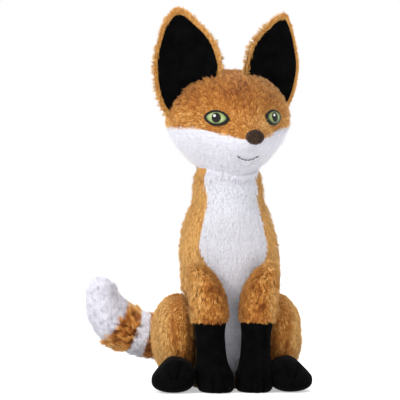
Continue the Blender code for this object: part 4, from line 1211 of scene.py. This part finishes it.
def tailForm(s, v):
    # a tube along a smooth line through the share table, with a dome at each end
    root = jointPlace["tail"]
    line = np.asarray(tail["shares"]) * (-tail["reach"], tail["lane"] - root[1], tail["rise"], tail["radius"])
    line[0, 3] = tail["rootRadius"]
    line = np.column_stack([np.linspace(0.0, 1.0, len(line)), line])
    rootCap, tipCap = tail["caps"]
    along = clamp((v - rootCap) / (1 - rootCap - tipCap))
    span = 1 / len(line)
    middle, after, before = (smoothThrough(line, along + step) for step in (0, span, -span))
    ahead = unit(after[..., :3] - before[..., :3])
    start = clamp(1 - v / rootCap) * math.pi / 2
    beyond = clamp((v - 1) / tipCap + 1) * math.pi / 2
    push = (tail["tipShare"] * np.sin(beyond) - np.sin(start)) * middle[..., 3]
    radius = middle[..., 3] * np.cos(beyond) * np.cos(start)
    side = unit(np.cross(ahead, (0.0, 1.0, 0.0)))
    turn = (fullTurn * s)[..., None]
    ring = np.cos(turn) * np.cross(side, ahead) + np.sin(turn) * side
    return middle[..., :3] + push[..., None] * ahead + radius[..., None] * ring + root


def tipward(points, normal, s, t):
    return np.array([-0.35, 0.0, 0.6]) + 0 * points


def tailPaintedRim(points, s, t):
    # painted light: golden at the band's upper and lower side, as a lit rim, and darker along the side that faces
    # forward
    return 0.56 * ease(np.abs(np.sin(fullTurn * s)), 0.62, 0.95) - 0.14 + patches(0.2)(points, s, t)


def makeTail():
    makeFilling("tail_stuffing", tailForm, "tail", (0.1, 0.97))
    piles = dict(
        base=pileOf(count=10500, seed=80, tint=0.26, length=0.01),
        white_band=whitePileOf(count=8000, seed=81, length=0.008, lean=0.45),
        brown_band=pileOf(count=16000, seed=82, tint=0.5, length=0.01, tuft=0.0022, tuftSquash=1.0, gather=0.5,
                          tuftTint=0.95, tintSpread=0.34, stray=0.24, lean=0.46),
        tip=whitePileOf(count=16000, seed=83, length=0.0086, lean=0.42, gather=0.3, tuftUneven=0.3, tint=0.42,
                        jitter=0.36),
    )
    for order, (name, pile) in enumerate(piles.items()):
        start, end = tail["bands"][order] + tail["bandGap"], tail["bands"][order + 1] - tail["bandGap"]
        plush(f"tailPlush_{name}", lambda s, t: tailForm(s, mix(start, end, t)), True, pile, "tail",
              (f"tail_{name}",), "brown_plush" if order % 2 == 0 else "white_plush", tipward,
              tailPaintedRim if name == "brown_band" else never, (36, 24))


# Floor, light and camera

view = dict(
    scale=0.000878,          # metres to a pixel
    axisPixel=228.0,         # the pixel column of the middle line
    floorPixel=387.5,        # the pixel row of the floor under that line
    frame=400,
    yaw=math.radians(6.8),
    rise=math.radians(2.4),
    distance=4.5,
)


def makeCamera():
    camera = addObject("camera", bpy.data.cameras.new("camera"))
    bpy.context.scene.camera = camera
    yaw, rise, scale, centre = view["yaw"], view["rise"], view["scale"], view["frame"] / 2
    camera.data.lens = camera.data.sensor_width * view["distance"] / (view["frame"] * scale)
    right = xyz(math.cos(yaw), -math.sin(yaw), 0.0)
    ahead = xyz(math.sin(yaw) * math.cos(rise), math.cos(yaw) * math.cos(rise), -math.sin(rise))
    target = right * (centre - view["axisPixel"]) * scale
    target = target + xyz(0.0, 0.0, (view["floorPixel"] - centre) * scale / math.cos(rise))
    camera.location = target - ahead * view["distance"]
    camera.rotation_euler = (math.pi / 2 - rise, 0.0, -yaw)
    camera.data.clip_end = 20.0


def lamp(name, place, size, power):
    # a square lamp that faces the middle of the fox
    light = bpy.data.lights.new(name, "AREA")
    light.size, light.energy = size, power
    made = addObject(name, light)
    x, y, z = np.array([0.0, 0.0, 0.16]) - place
    made.location = place
    made.rotation_euler = (math.atan2(math.hypot(x, y), -z), 0.0, math.atan2(y, x) - math.pi / 2)


def seenRays(tree):
    # 1 for rays from the camera, and for what glossy and clear surfaces show of the background
    rays = addNode(tree, "LightPath")
    total = rays.outputs["Is Camera Ray"]
    for name in ("Is Glossy Ray", "Is Transmission Ray"):
        either = addNode(tree, "Math", operation="MAXIMUM")
        tree.links.new(total, either.inputs[0])
        link(tree, (rays, name, either, 1))
        total = either.outputs["Value"]
    return total


def makeStage():
    world = bpy.data.worlds.new("studio")
    bpy.context.scene.world = world
    world.use_nodes = True
    tree = world.node_tree
    ground = tree.nodes["Background"]
    setUp(ground, Color=(0.94, 0.96, 1.0, 1.0), Strength=0.75)
    plain = addNode(tree, "Background", Color=(1.0, 1.0, 1.0, 1.0), Strength=1.0)
    blend = addNode(tree, "MixShader")
    tree.links.new(seenRays(tree), blend.inputs["Fac"])
    link(tree, (ground, "Background", blend, 1), (plain, "Background", blend, 2),
         (blend, "Shader", tree.nodes["World Output"], "Surface"))

    mesh = bpy.data.meshes.new("floor")
    reach = 3.0
    mesh.from_pydata([(x * reach, y * reach, 0.0) for x, y in ((-1, -1), (1, -1), (1, 1), (-1, 1))], [], [range(4)])
    made, tree, shader = newMaterial("floorPaper", 0.9, 0.0)
    lift = addNode(tree, "Math", operation="MULTIPLY")
    lift.inputs[1].default_value = 0.45
    tree.links.new(seenRays(tree), lift.inputs[0])
    link(tree, (lift, "Value", shader, "Emission Strength"))
    setUp(shader, **{"Base Color": (0.93, 0.93, 0.93, 1.0), "Emission Color": (1.0, 1.0, 1.0, 1.0)})
    mesh.materials.append(made)
    addObject("floor", mesh)
    lamp("keyLamp", (-1.5, -1.4, 1.2), 0.9, 35.0)
    lamp("fillLamp", (1.1, -1.9, 0.45), 1.2, 12.0)
    lamp("topLamp", (0.1, 0.6, 1.8), 1.0, 16.0)


for make in (makeTorso, makeNeck, makeHead, makeEars, makeForelegs, makeHindLegs, makeTail, makeCamera, makeStage):
    make()
bpy.context.scene.view_settings.view_transform = "Standard"
print("scene made")
